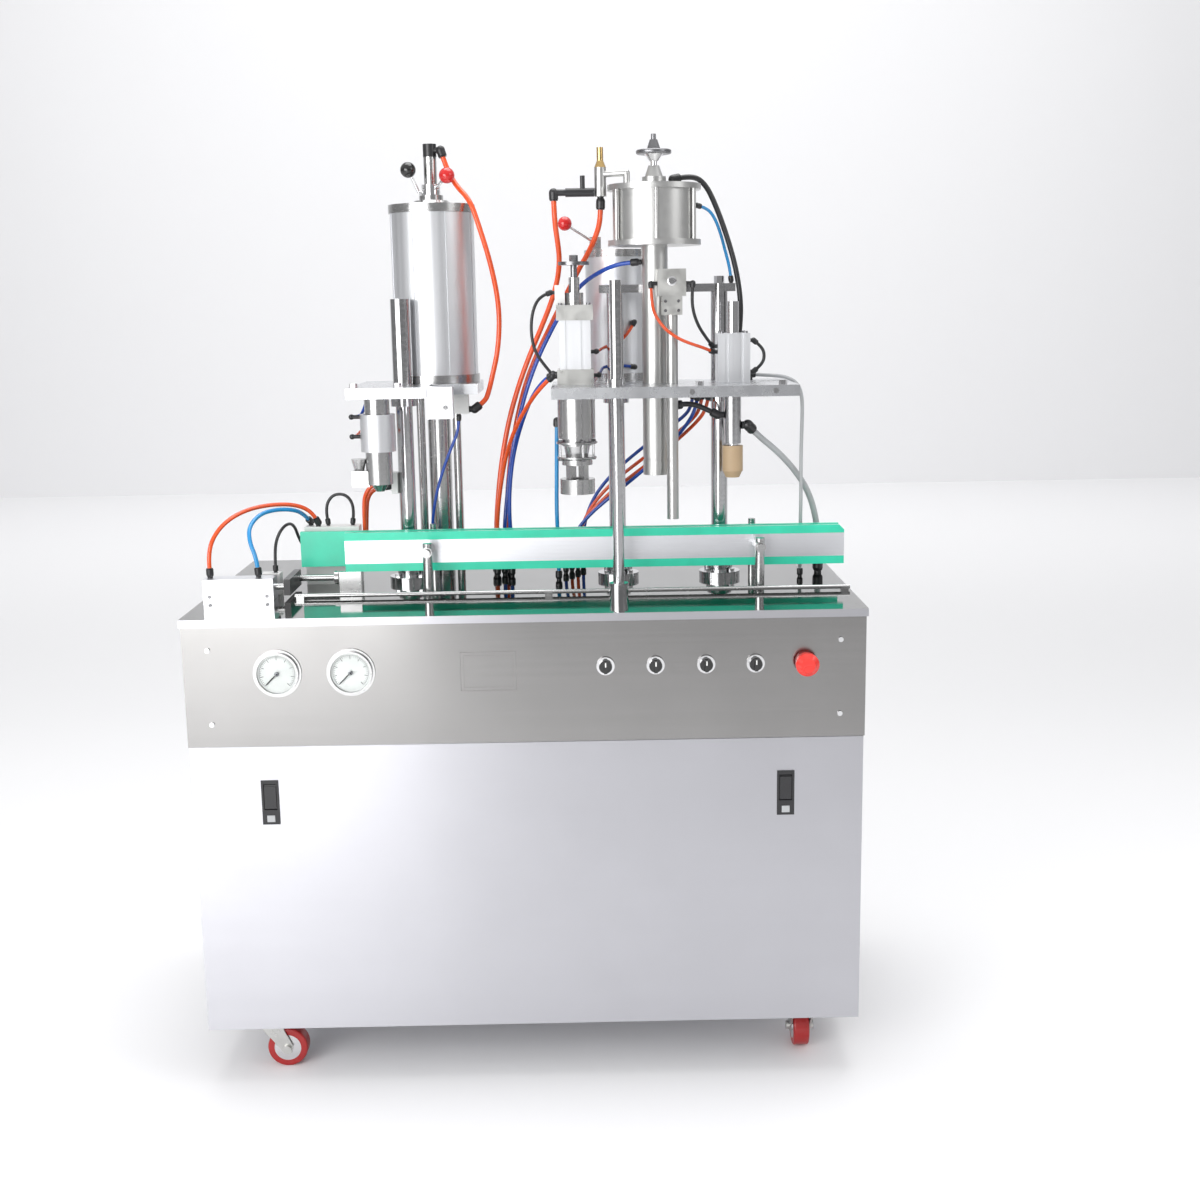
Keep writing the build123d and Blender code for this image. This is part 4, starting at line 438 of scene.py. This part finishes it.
# ---- hoses -----------------------------------------------------------------------------------------------
# node: list of (diameter, start, route, end), in metres. A start or an end is the seat that its fitting
# stands on, or the fitting's corner and then its seat.
hoses = {
    "hose_dosing": [
        (0.01, [(-0.155, 0.117, 1.7), (-0.177, 0.126, 1.7)],
         [(-0.145, 0.113, 1.668), (-0.128, 0.104, 1.634), (-0.099, 0.074, 1.604), (-0.084, 0.068, 1.56),
          (-0.062, 0.072, 1.484), (-0.048, 0.078, 1.402), (-0.052, 0.08, 1.326), (-0.066, 0.076, 1.268),
          (-0.074, 0.07, 1.238), (-0.08, 0.066, 1.224)],
         [(-0.101, 0.063, 1.208), (-0.112, 0.063, 1.208)]),
    ],
    "tubes_orange": [
        (0.008, [(-0.271, 0.026, 1.072), (-0.2633, 0.026, 1.072)],
         [(-0.296, 0.026, 1.069), (-0.309, 0.028, 1.06), (-0.317, 0.03, 1.046), (-0.32, 0.033, 1.03),
          (-0.321, 0.035, 1)],
         [(-0.321, 0.036, 0.96), (-0.33, 0.036, 0.96)]),
        (0.008, [(-0.271, 0.044, 1.062), (-0.2633, 0.044, 1.062)],
         [(-0.295, 0.045, 1.059), (-0.308, 0.046, 1.05), (-0.315, 0.047, 1.036), (-0.317, 0.048, 1.02),
          (-0.319, 0.048, 0.99)],
         [(-0.321, 0.048, 0.944), (-0.33, 0.048, 0.944)]),
        (0.006, [(-0.327, -0.035, 1.166), (-0.3113, -0.035, 1.166)],
         [(-0.328, 0.008, 1.163), (-0.326, 0.038, 1.165), (-0.316, 0.06, 1.176), (-0.302, 0.074, 1.194)],
         [(-0.29, 0.08, 1.238)]),
        (0.008, [(-0.59, -0.12, 0.915)],
         [(-0.591, -0.119, 0.958), (-0.583, -0.11, 0.99), (-0.561, -0.086, 1.018),
          (-0.528, -0.052, 1.034), (-0.49, -0.018, 1.038), (-0.452, 0.01, 1.034), (-0.423, 0.024, 1.02)],
         [(-0.41, 0.029, 0.988)]),
        (0.01, [(0.062, -0.012, 1.608), (0.084, -0.012, 1.608)],
         [(0.063, -0.01, 1.558), (0.067, -0.002, 1.526), (0.071, 0.012, 1.49), (0.066, 0.032, 1.45),
          (0.052, 0.054, 1.408), (0.032, 0.072, 1.362), (0.008, 0.084, 1.31), (-0.016, 0.092, 1.25),
          (-0.037, 0.096, 1.182), (-0.052, 0.097, 1.11), (-0.062, 0.095, 1.036), (-0.068, 0.094, 0.962)],
         [(-0.068, 0.094, 0.875)]),
        (0.01, [(0.149, -0.012, 1.6)],
         [(0.148, -0.01, 1.556), (0.139, 0.001, 1.528), (0.124, 0.018, 1.498), (0.105, 0.04, 1.468),
          (0.088, 0.062, 1.436), (0.068, 0.082, 1.4), (0.046, 0.098, 1.358), (0.02, 0.108, 1.308),
          (-0.004, 0.112, 1.25), (-0.022, 0.114, 1.182), (-0.036, 0.113, 1.11), (-0.044, 0.11, 1.036),
          (-0.048, 0.108, 0.962)],
         [(-0.048, 0.108, 0.875)]),
        (0.008, [(0.054, -0.054, 1.274), (0.063, -0.054, 1.274)],
         [(0.034, -0.042, 1.256), (0.01, -0.014, 1.226), (-0.016, 0.016, 1.184), (-0.038, 0.044, 1.132),
          (-0.052, 0.066, 1.074), (-0.062, 0.074, 1.01), (-0.066, 0.073, 0.948)],
         [(-0.066, 0.073, 0.875)]),
        (0.006, [(0.238, -0.074, 1.44), (0.25, -0.074, 1.44)],
         [(0.239, -0.079, 1.402), (0.247, -0.089, 1.378), (0.264, -0.096, 1.356), (0.287, -0.093, 1.34),
          (0.311, -0.081, 1.33), (0.333, -0.068, 1.323)],
         [(0.354, -0.052, 1.314), (0.362, -0.052, 1.314)]),
        (0.006, [(0.212, 0.066, 1.37), (0.2081, 0.0739, 1.37)],
         [(0.196, 0.06, 1.342), (0.17, 0.062, 1.328), (0.15, 0.048, 1.322), (0.145, 0.022, 1.319)],
         [(0.136, -0.016, 1.317), (0.126, -0.016, 1.317)]),
        (0.007, [(0.35, 0.002, 1.238)],
         [(0.345, 0.009, 1.202), (0.328, 0.022, 1.178), (0.296, 0.044, 1.146), (0.258, 0.068, 1.112),
          (0.216, 0.09, 1.078), (0.172, 0.104, 1.044), (0.13, 0.112, 1.006), (0.098, 0.116, 0.962),
          (0.082, 0.118, 0.922)],
         [(0.082, 0.118, 0.875)]),
        (0.007, [(0.34, 0.03, 1.238)],
         [(0.336, 0.035, 1.202), (0.32, 0.046, 1.18), (0.29, 0.066, 1.152), (0.252, 0.088, 1.122),
          (0.212, 0.11, 1.09), (0.17, 0.126, 1.056), (0.13, 0.136, 1.014), (0.104, 0.14, 0.968),
          (0.094, 0.142, 0.928)],
         [(0.094, 0.142, 0.875)]),
    ],
    "tubes_blue": [
        (0.006, [(-0.132, 0.06, 1.2)],
         [(-0.134, 0.06, 1.166), (-0.149, 0.062, 1.134), (-0.168, 0.066, 1.088), (-0.184, 0.07, 1.036),
          (-0.193, 0.073, 0.982), (-0.195, 0.075, 0.932)],
         [(-0.195, 0.075, 0.875)]),
        (0.006, [(-0.327, -0.035, 1.203), (-0.3113, -0.035, 1.203)],
         [(-0.327, 0.004, 1.202), (-0.324, 0.03, 1.2), (-0.318, 0.05, 1.202)],
         [(-0.309, 0.066, 1.238)]),
        (0.008, [(-0.5, -0.12, 0.915)],
         [(-0.503, -0.119, 0.952), (-0.515, -0.112, 0.98), (-0.519, -0.092, 1.006),
          (-0.504, -0.06, 1.026), (-0.478, -0.03, 1.03), (-0.452, -0.006, 1.026), (-0.438, 0.018, 1.016)],
         [(-0.427, 0.044, 0.988)]),
        (0.008, [(0.214, -0.034, 1.48), (0.2222, -0.035, 1.48)],
         [(0.186, -0.028, 1.478), (0.164, -0.015, 1.472), (0.142, 0.002, 1.462), (0.116, 0.024, 1.446),
          (0.093, 0.044, 1.422), (0.072, 0.062, 1.392), (0.05, 0.078, 1.354), (0.024, 0.09, 1.304),
          (0, 0.097, 1.244), (-0.02, 0.1, 1.174), (-0.035, 0.098, 1.1), (-0.045, 0.093, 1.028),
          (-0.052, 0.088, 0.958)],
         [(-0.052, 0.088, 0.875)]),
        (0.008, [(0.054, -0.014, 1.276), (0.063, -0.014, 1.276)],
         [(0.034, -0.004, 1.262), (0.012, 0.016, 1.232), (-0.008, 0.04, 1.186), (-0.026, 0.062, 1.128),
          (-0.036, 0.072, 1.07), (-0.04, 0.074, 1.008), (-0.037, 0.071, 0.948)],
         [(-0.037, 0.071, 0.875)]),
        (0.006, [(0.328, -0.007, 1.582), (0.3196, -0.0099, 1.582)],
         [(0.349, -0.001, 1.576), (0.363, 0.009, 1.559), (0.375, 0.021, 1.531), (0.385, 0.031, 1.497),
          (0.393, 0.036, 1.47)],
         [(0.396, 0.037, 1.44)]),
        (0.006, [(0.212, 0.066, 1.284), (0.2081, 0.0739, 1.284)],
         [(0.19, 0.062, 1.287), (0.168, 0.061, 1.288), (0.15, 0.047, 1.285), (0.146, 0.022, 1.28)],
         [(0.141, -0.016, 1.273), (0.131, -0.016, 1.273)]),
        (0.007, [(0.324, 0.052, 1.238)],
         [(0.32, 0.058, 1.204), (0.306, 0.066, 1.186), (0.28, 0.084, 1.166), (0.246, 0.106, 1.138),
          (0.208, 0.128, 1.106), (0.168, 0.146, 1.07), (0.132, 0.158, 1.026), (0.112, 0.163, 0.98),
          (0.105, 0.165, 0.936)],
         [(0.105, 0.165, 0.875)]),
        (0.007, [(0.328, -0.014, 1.238)],
         [(0.323, -0.008, 1.202), (0.306, 0.008, 1.172), (0.276, 0.03, 1.134), (0.24, 0.054, 1.096),
          (0.2, 0.074, 1.06), (0.158, 0.088, 1.026), (0.116, 0.094, 0.99), (0.086, 0.095, 0.952),
          (0.07, 0.095, 0.918)],
         [(0.07, 0.095, 0.875)]),
    ],
    "tubes_black": [
        (0.006, [(-0.478, -0.07, 0.915)],
         [(-0.478, -0.068, 0.952), (-0.477, -0.054, 0.974), (-0.472, -0.032, 0.99),
          (-0.465, -0.008, 0.998), (-0.459, 0.014, 0.996), (-0.455, 0.03, 0.984), (-0.452, 0.038, 0.966)],
         [(-0.443, 0.05, 0.94), (-0.436, 0.05, 0.94)]),
        (0.006, [(-0.392, 0.036, 0.988)],
         [(-0.395, 0.036, 1.016), (-0.391, 0.037, 1.036), (-0.378, 0.038, 1.049), (-0.358, 0.038, 1.049),
          (-0.345, 0.037, 1.036), (-0.341, 0.036, 1.016)],
         [(-0.344, 0.036, 0.988)]),
        (0.006, [(0.053, -0.035, 1.427), (0.061, -0.035, 1.427)],
         [(0.034, -0.035, 1.42), (0.022, -0.036, 1.402), (0.016, -0.037, 1.376), (0.016, -0.038, 1.346),
          (0.022, -0.038, 1.32), (0.034, -0.037, 1.3)],
         [(0.055, -0.035, 1.274), (0.063, -0.035, 1.274)]),
        (0.006, [(0.315, -0.074, 1.44), (0.302, -0.074, 1.44)],
         [(0.313, -0.073, 1.408), (0.317, -0.069, 1.384), (0.326, -0.062, 1.362), (0.338, -0.054, 1.344)],
         [(0.354, -0.04, 1.324), (0.362, -0.04, 1.324)]),
        (0.006, [(0.431, -0.035, 1.334), (0.422, -0.035, 1.334)],
         [(0.448, -0.035, 1.32), (0.452, -0.035, 1.305), (0.448, -0.035, 1.29)],
         [(0.431, -0.035, 1.276), (0.422, -0.035, 1.276)]),
    ],
    "hose_drum": [
        (0.01, [(0.284, 0, 1.63), (0.284, 0, 1.618)],
         [(0.322, 0.007, 1.637), (0.346, 0.011, 1.621), (0.366, 0.012, 1.58), (0.387, 0.013, 1.523),
          (0.404, 0.015, 1.464), (0.413, 0.017, 1.404), (0.411, 0.018, 1.352), (0.404, 0.018, 1.308)],
         [(0.404, 0.018, 1.258)]),
    ],
    "tube_crimp_supply": [
        (0.008, [(0.059, 0.017, 1.186), (0.0758, -0.006, 1.186)],
         [(0.057, 0.017, 1.092), (0.055, 0.018, 1.014), (0.057, 0.018, 0.944)],
         [(0.057, 0.018, 0.875)]),
    ],
    "hose_gas": [
        (0.012, [(0.421, -0.033, 1.176), (0.4083, -0.035, 1.176)],
         [(0.446, -0.013, 1.151), (0.482, 0.007, 1.122), (0.52, 0.027, 1.082), (0.55, 0.043, 1.036),
          (0.566, 0.051, 0.982), (0.57, 0.053, 0.932)],
         [(0.57, 0.053, 0.875)]),
        (0.01, [(0.283, -0.035, 1.215), (0.2718, -0.035, 1.215)],
         [(0.308, -0.033, 1.218), (0.33, -0.033, 1.213)],
         [(0.364, -0.035, 1.196), (0.3757, -0.035, 1.196)]),
    ],
    "tube_drop": [
        (0.007, [(0.432, 0.025, 1.268), (0.432, 0.025, 1.258)],
         [(0.47, 0.022, 1.266), (0.5, 0.017, 1.263), (0.521, 0.014, 1.251), (0.53, 0.013, 1.228),
          (0.531, 0.013, 1.19), (0.529, 0.013, 1.12), (0.53, 0.014, 1.03), (0.529, 0.014, 0.96)],
         [(0.529, 0.014, 0.875)]),
    ],
}
socket_length = 1.2  # of every fitting's socket, in hose diameters
corner_height = 0.9  # of a fitting's corner over its seat, in hose diameters
hose_materials = {  # one for each hose in turn, the last for all that follow
    "hose_dosing": [hose_orange],
    "tubes_orange": [hose_orange],
    "tubes_blue": [hose_blue, hose_blue, hose_sky, hose_blue, hose_blue, hose_sky, hose_blue],
    "tubes_black": [hose_black],
    "hose_drum": [hose_black],
    "tube_crimp_supply": [hose_sky],
    "hose_gas": [hose_grey, hose_black],
    "tube_drop": [hose_grey],
}


def fitting_corner(diameter, stem, inner):
    """Where a fitting's stem meets its socket: given, or straight above or below its seat."""
    if len(stem) > 1:
        return Vector(stem[0])
    x, y, z = stem[0]
    side = 1 if inner[2] > z else -1
    return Vector((x, y, z + side * corner_height * diameter))


def hose_end(diameter, corner, inner):
    """The hose's end, a socket's length from the fitting's corner towards the hose's next point."""
    return corner + (Vector(inner) - corner).normalized() * socket_length * diameter


def hose_curve(name, diameter, points, material):
    """A smooth tube with the route's points as its control points."""
    curve = bpy.data.curves.new(name, "CURVE")
    curve.dimensions = "3D"
    curve.bevel_depth = diameter / 2
    curve.bevel_resolution = 5
    curve.resolution_u = 10
    spline = curve.splines.new("NURBS")
    spline.points.add(len(points) - 1)
    for slot, point in zip(spline.points, points):
        slot.co = (*point, 1)
    spline.order_u = 3
    spline.use_endpoint_u = True
    curve.materials.append(material)
    piece = bpy.data.objects.new(name, curve)
    scene.collection.objects.link(piece)
    return piece


def spline_length(piece):
    """The length of a curve's own line."""
    plain = piece.data.copy()
    plain.bevel_depth = 0
    probe = bpy.data.objects.new("probe", plain)
    line = bpy.data.meshes.new_from_object(probe)
    places = [v.co for v in line.vertices]
    bpy.data.objects.remove(probe)
    return sum((b - a).length for a, b in zip(places, places[1:]))


def make_hoses():
    """Every hose, with its length worked out but not kept, and the release ring at each of its ends."""
    for node, group in hoses.items():
        colors = hose_materials[node]
        for number, (diameter, start, route, end) in enumerate(group):
            first = fitting_corner(diameter, start, route[0])
            last = fitting_corner(diameter, end, route[-1])
            head = hose_end(diameter, first, route[0])
            tail = hose_end(diameter, last, route[-1])
            points = [head, *[Vector(point) for point in route], tail]
            color = colors[min(number, len(colors) - 1)]
            piece = hose_curve(f"{node}_{number + 1}", diameter, points, color)
            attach(piece, "machine")
            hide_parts(node)
            spline_length(piece)
            for label, corner, place in (("start", first, head), ("end", last, tail)):
                release_ring(f"{node}_{number + 1}_ring_{label}", diameter, place, place - corner)


# ---- small turned and flat pieces ------------------------------------------------------------------------
ahead = (0, -1, 0)
up = (0, 0, 1)


def lathe(name, profile, origin, axis, material, body="machine", steps=32):
    """A turned piece from (radius, height) pairs along an axis, with smooth sides and sharp corners."""
    turn = Vector(axis).to_track_quat("Z", "Y").to_matrix()
    shape = bmesh.new()
    rings = []
    for radius, height in profile:
        ring = []
        for step in range(steps):
            angle = 2 * pi * step / steps
            place = turn @ Vector((radius * cos(angle), radius * sin(angle), height)) + Vector(origin)
            ring.append(shape.verts.new(place))
        rings.append(ring)
    for low, high in zip(rings, rings[1:]):
        for step in range(steps):
            shape.faces.new((low[step], low[(step + 1) % steps], high[(step + 1) % steps], high[step]))
    shape.faces.new(reversed(rings[0]))
    shape.faces.new(rings[-1])
    bmesh.ops.recalc_face_normals(shape, faces=shape.faces)
    return finish(name, shape, material, body)


def finish(name, shape, material, body, angle=32):
    """Turns a bmesh into a piece that rides on a body."""
    mesh = bpy.data.meshes.new(name)
    shape.to_mesh(mesh)
    shape.free()
    for face in mesh.polygons:
        face.use_smooth = True
    mesh.set_sharp_from_angle(angle=radians(angle))
    mesh.materials.append(material)
    piece = bpy.data.objects.new(name, mesh)
    scene.collection.objects.link(piece)
    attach(piece, body)
    return piece


def release_ring(name, diameter, place, along):
    """The ring that frees a tube from its push-in fitting, round the tube just outside the socket."""
    r = diameter / 2
    w = 0.1 * diameter
    profile = [(r * 1.02, 0), (r * 1.50, 0), (r * 1.56, w * 0.6), (r * 1.56, w * 2), (r * 1.40, w * 2.6),
               (r * 1.02, w * 2.6)]
    lathe(name, profile, place, along, black_gloss, steps=20)


def rounded_plate(name, x0, x1, z0, z1, y, depth, radius, material, body="machine"):
    """A thin plate on a front face, with rounded corners."""
    shape = bmesh.new()
    outline = []
    for cx, cz, start in ((x1 - radius, z1 - radius, 0), (x0 + radius, z1 - radius, 90),
                          (x0 + radius, z0 + radius, 180), (x1 - radius, z0 + radius, 270)):
        for step in range(7):
            angle = radians(start + 15 * step)
            outline.append(Vector((cx + radius * cos(angle), y, cz + radius * sin(angle))))
    back = [shape.verts.new(p) for p in outline]
    face = [shape.verts.new(p - Vector((0, depth, 0))) for p in outline]
    count = len(outline)
    for step in range(count):
        shape.faces.new((back[step], back[(step + 1) % count], face[(step + 1) % count], face[step]))
    shape.faces.new(face)
    shape.faces.new(list(reversed(back)))
    bmesh.ops.recalc_face_normals(shape, faces=shape.faces)
    return finish(name, shape, material, body)


def frame_lines(name, x0, x1, z0, z1, y, width, material):
    """A thin rectangular outline on the front face."""
    shape = bmesh.new()
    depth = 0.0002
    for a0, a1, b0, b1 in ((x0, x1, z1 - width, z1), (x0, x1, z0, z0 + width), (x0, x0 + width, z0, z1),
                           (x1 - width, x1, z0, z1)):
        corners = [(a0, b0), (a1, b0), (a1, b1), (a0, b1)]
        low = [shape.verts.new((a, y, b)) for a, b in corners]
        high = [shape.verts.new((a, y - depth, b)) for a, b in corners]
        shape.faces.new(high)
        for step in range(4):
            shape.faces.new((low[step], low[(step + 1) % 4], high[(step + 1) % 4], high[step]))
    bmesh.ops.recalc_face_normals(shape, faces=shape.faces)
    return finish(name, shape, material, "machine")


def dial_marks(name, x):
    """The scale of a gauge: 41 ticks over 270 degrees, with a band arc inside the rim."""
    shape = bmesh.new()
    y = -0.3191
    first, turn, ticks, arcs = 225, 270, 40, 54
    for tick in range(ticks + 1):
        angle = radians(first - tick * turn / ticks)
        large = tick % 5 == 0
        inner, outer, half = (0.0245, 0.0305, 0.0005) if large else (0.0275, 0.0305, 0.00025)
        along = Vector((cos(angle), 0, sin(angle)))
        side = Vector((-sin(angle), 0, cos(angle)))
        middle = Vector((x, y, gauge_z))
        corners = [middle + along * r + side * s for r, s in
                   ((inner, -half), (outer, -half), (outer, half), (inner, half))]
        shape.faces.new([shape.verts.new(c) for c in corners])
    for step in range(arcs):
        a0, a1 = (radians(first - turn * k / arcs) for k in (step, step + 1))
        ring = [(0.0309, a0), (0.0314, a0), (0.0314, a1), (0.0309, a1)]
        shape.faces.new([shape.verts.new((x + r * cos(a), y, gauge_z + r * sin(a))) for r, a in ring])
    return finish(name, shape, ink_black, "machine")


def face_screw(name, x, y, z, radius):
    """A socket head screw seen from the front."""
    profile = [(radius, 0), (radius, 0.0012), (radius * 0.85, 0.0018), (radius * 0.45, 0.0018),
               (radius * 0.45, 0.0005), (0.0001, 0.0004)]
    lathe(name, profile, (x, y, z), ahead, dark_steel, steps=20)


def cap_screw(name, x, y, z):
    """A socket head screw with its recess, on a flat cap."""
    profile = [(0.0040, 0), (0.0040, 0.0030), (0.0036, 0.0036), (0.0019, 0.0036), (0.0019, 0.0016),
               (0.0001, 0.0014)]
    lathe(name, profile, (x, y, z), up, dark_steel, steps=24)


def make_trim():
    """Dials, plaque outline, knob marks, and the screws of the pusher, the valve block and the two caps."""
    needle_cap = [(0.0001, 0), (0.0042, 0), (0.0042, 0.0008), (0.003, 0.0014), (0.0001, 0.0015)]
    needle_front = -0.3214
    for side, x in zip(("left", "right"), gauge_xs):
        dial_marks(f"dial_marks_{side}", x)
        place = (x, needle_front, gauge_z)
        lathe(f"needle_cap_{side}", needle_cap, place, ahead, dark_steel, f"needle_{side}", 24)
    x0, x1, z0, z1 = plaque
    inset = 0.006
    frame_lines("plaque_outline", x0, x1, z0, z1, front_y, 0.0007, etch_grey)
    frame_lines("plaque_inner", x0 + inset, x1 - inset, z0 + inset, z1 - inset, front_y, 0.0004, etch_grey)
    knob_front, mark_half, mark_low, mark_high = -0.3354, 0.0011, 0.7815, 0.7895
    for number, x in enumerate(knob_xs, start=1):
        rounded_plate(f"knob_mark_{number}", x - mark_half, x + mark_half, mark_low, mark_high, knob_front,
                      0.0004, 0.0009, dial_white, f"selector_{number}")
    for number, x in enumerate((-0.588, -0.482), start=1):
        face_screw(f"pusher_screw_{number}", x, -0.142, 0.883, 0.0032)
    valve_corners = [(valve_x + side * 0.012, z) for z in (1.391, 1.408) for side in (-1, 1)]
    for number, (x, z) in enumerate(valve_corners, start=1):
        face_screw(f"valve_screw_{number}", x, valve_low_y, z, 0.0028)
    port = [(0.0085, 0), (0.0085, 0.002), (0.0070, 0.0026), (0.0045, 0.0026), (0.0045, 0.0008),
            (0.0001, 0.0006)]
    lathe("valve_port", port, (valve_x, valve_high_y, 1.444), ahead, chrome, steps=24)
    for label, middle, reach, top in (("crimp", crimp_x, 0.026, crimp_top), ("gas", gas_x, 0.022, gas_top)):
        for side in (-1, 1):
            for end in (-1, 1):
                cap_screw(f"{label}_screw_{side}_{end}", middle + side * reach, lane_y + end * reach, top)


def crimp_cage():
    """The two thin plates and the four bolts that guide the crimping jaws."""
    thick, rim, bolt_circle, bolt_radius, nut_height = 0.004, 0.0008, 0.0335, 0.0022, 0.0036
    low_z, high_z = 1.1185, 1.1465
    nut = [(0.0042, 0), (0.0045, 0.0004), (0.0045, 0.0032), (0.0042, nut_height)]
    for label, z, radius in (("low", low_z, 0.037), ("high", high_z, 0.039)):
        plate = [(radius - rim, 0), (radius, rim), (radius, thick - rim), (radius - rim, thick)]
        lathe(f"crimp_plate_{label}", plate, (crimp_x, lane_y, z), up, turned_steel, "crimp_head", 48)
    for number in range(4):
        angle = radians(20 + 90 * number)
        x, y = crimp_x + bolt_circle * cos(angle), lane_y + bolt_circle * sin(angle)
        bolt = [(bolt_radius, 0), (bolt_radius, high_z - low_z)]
        lathe(f"crimp_bolt_{number + 1}", bolt, (x, y, low_z + 0.001), up, chrome, "crimp_head", 16)
        for label, z in (("low", low_z - nut_height), ("high", high_z + thick)):
            lathe(f"crimp_nut_{label}_{number + 1}", nut, (x, y, z), up, dark_steel, "crimp_head", 6)


make_camera()
make_world()
make_stage()
area_light("key", (-2.3, -3.0, 1.7), (-0.4, -0.5, 0.35), (2.2, 1.8), 72)
area_light("window", (-1.25, -4.3, 1.1), (-0.4, 0, 0.6), (1.3, 2.0), 34)
area_light("fill", (3.2, -1.8, 2.6), (0, 0, 1.1), (1.6, 1.6), 18)
area_light("top", (0.2, 0.4, 4.2), (0, 0, 1.0), (3.0, 2.4), 75)
area_light("backdrop", (0, 5.6, 4.6), (0, 9, 2.2), (9, 3), 130)
make_hoses()
paint_cad()
make_trim()
crimp_cage()

scene.view_settings.view_transform = "Standard"
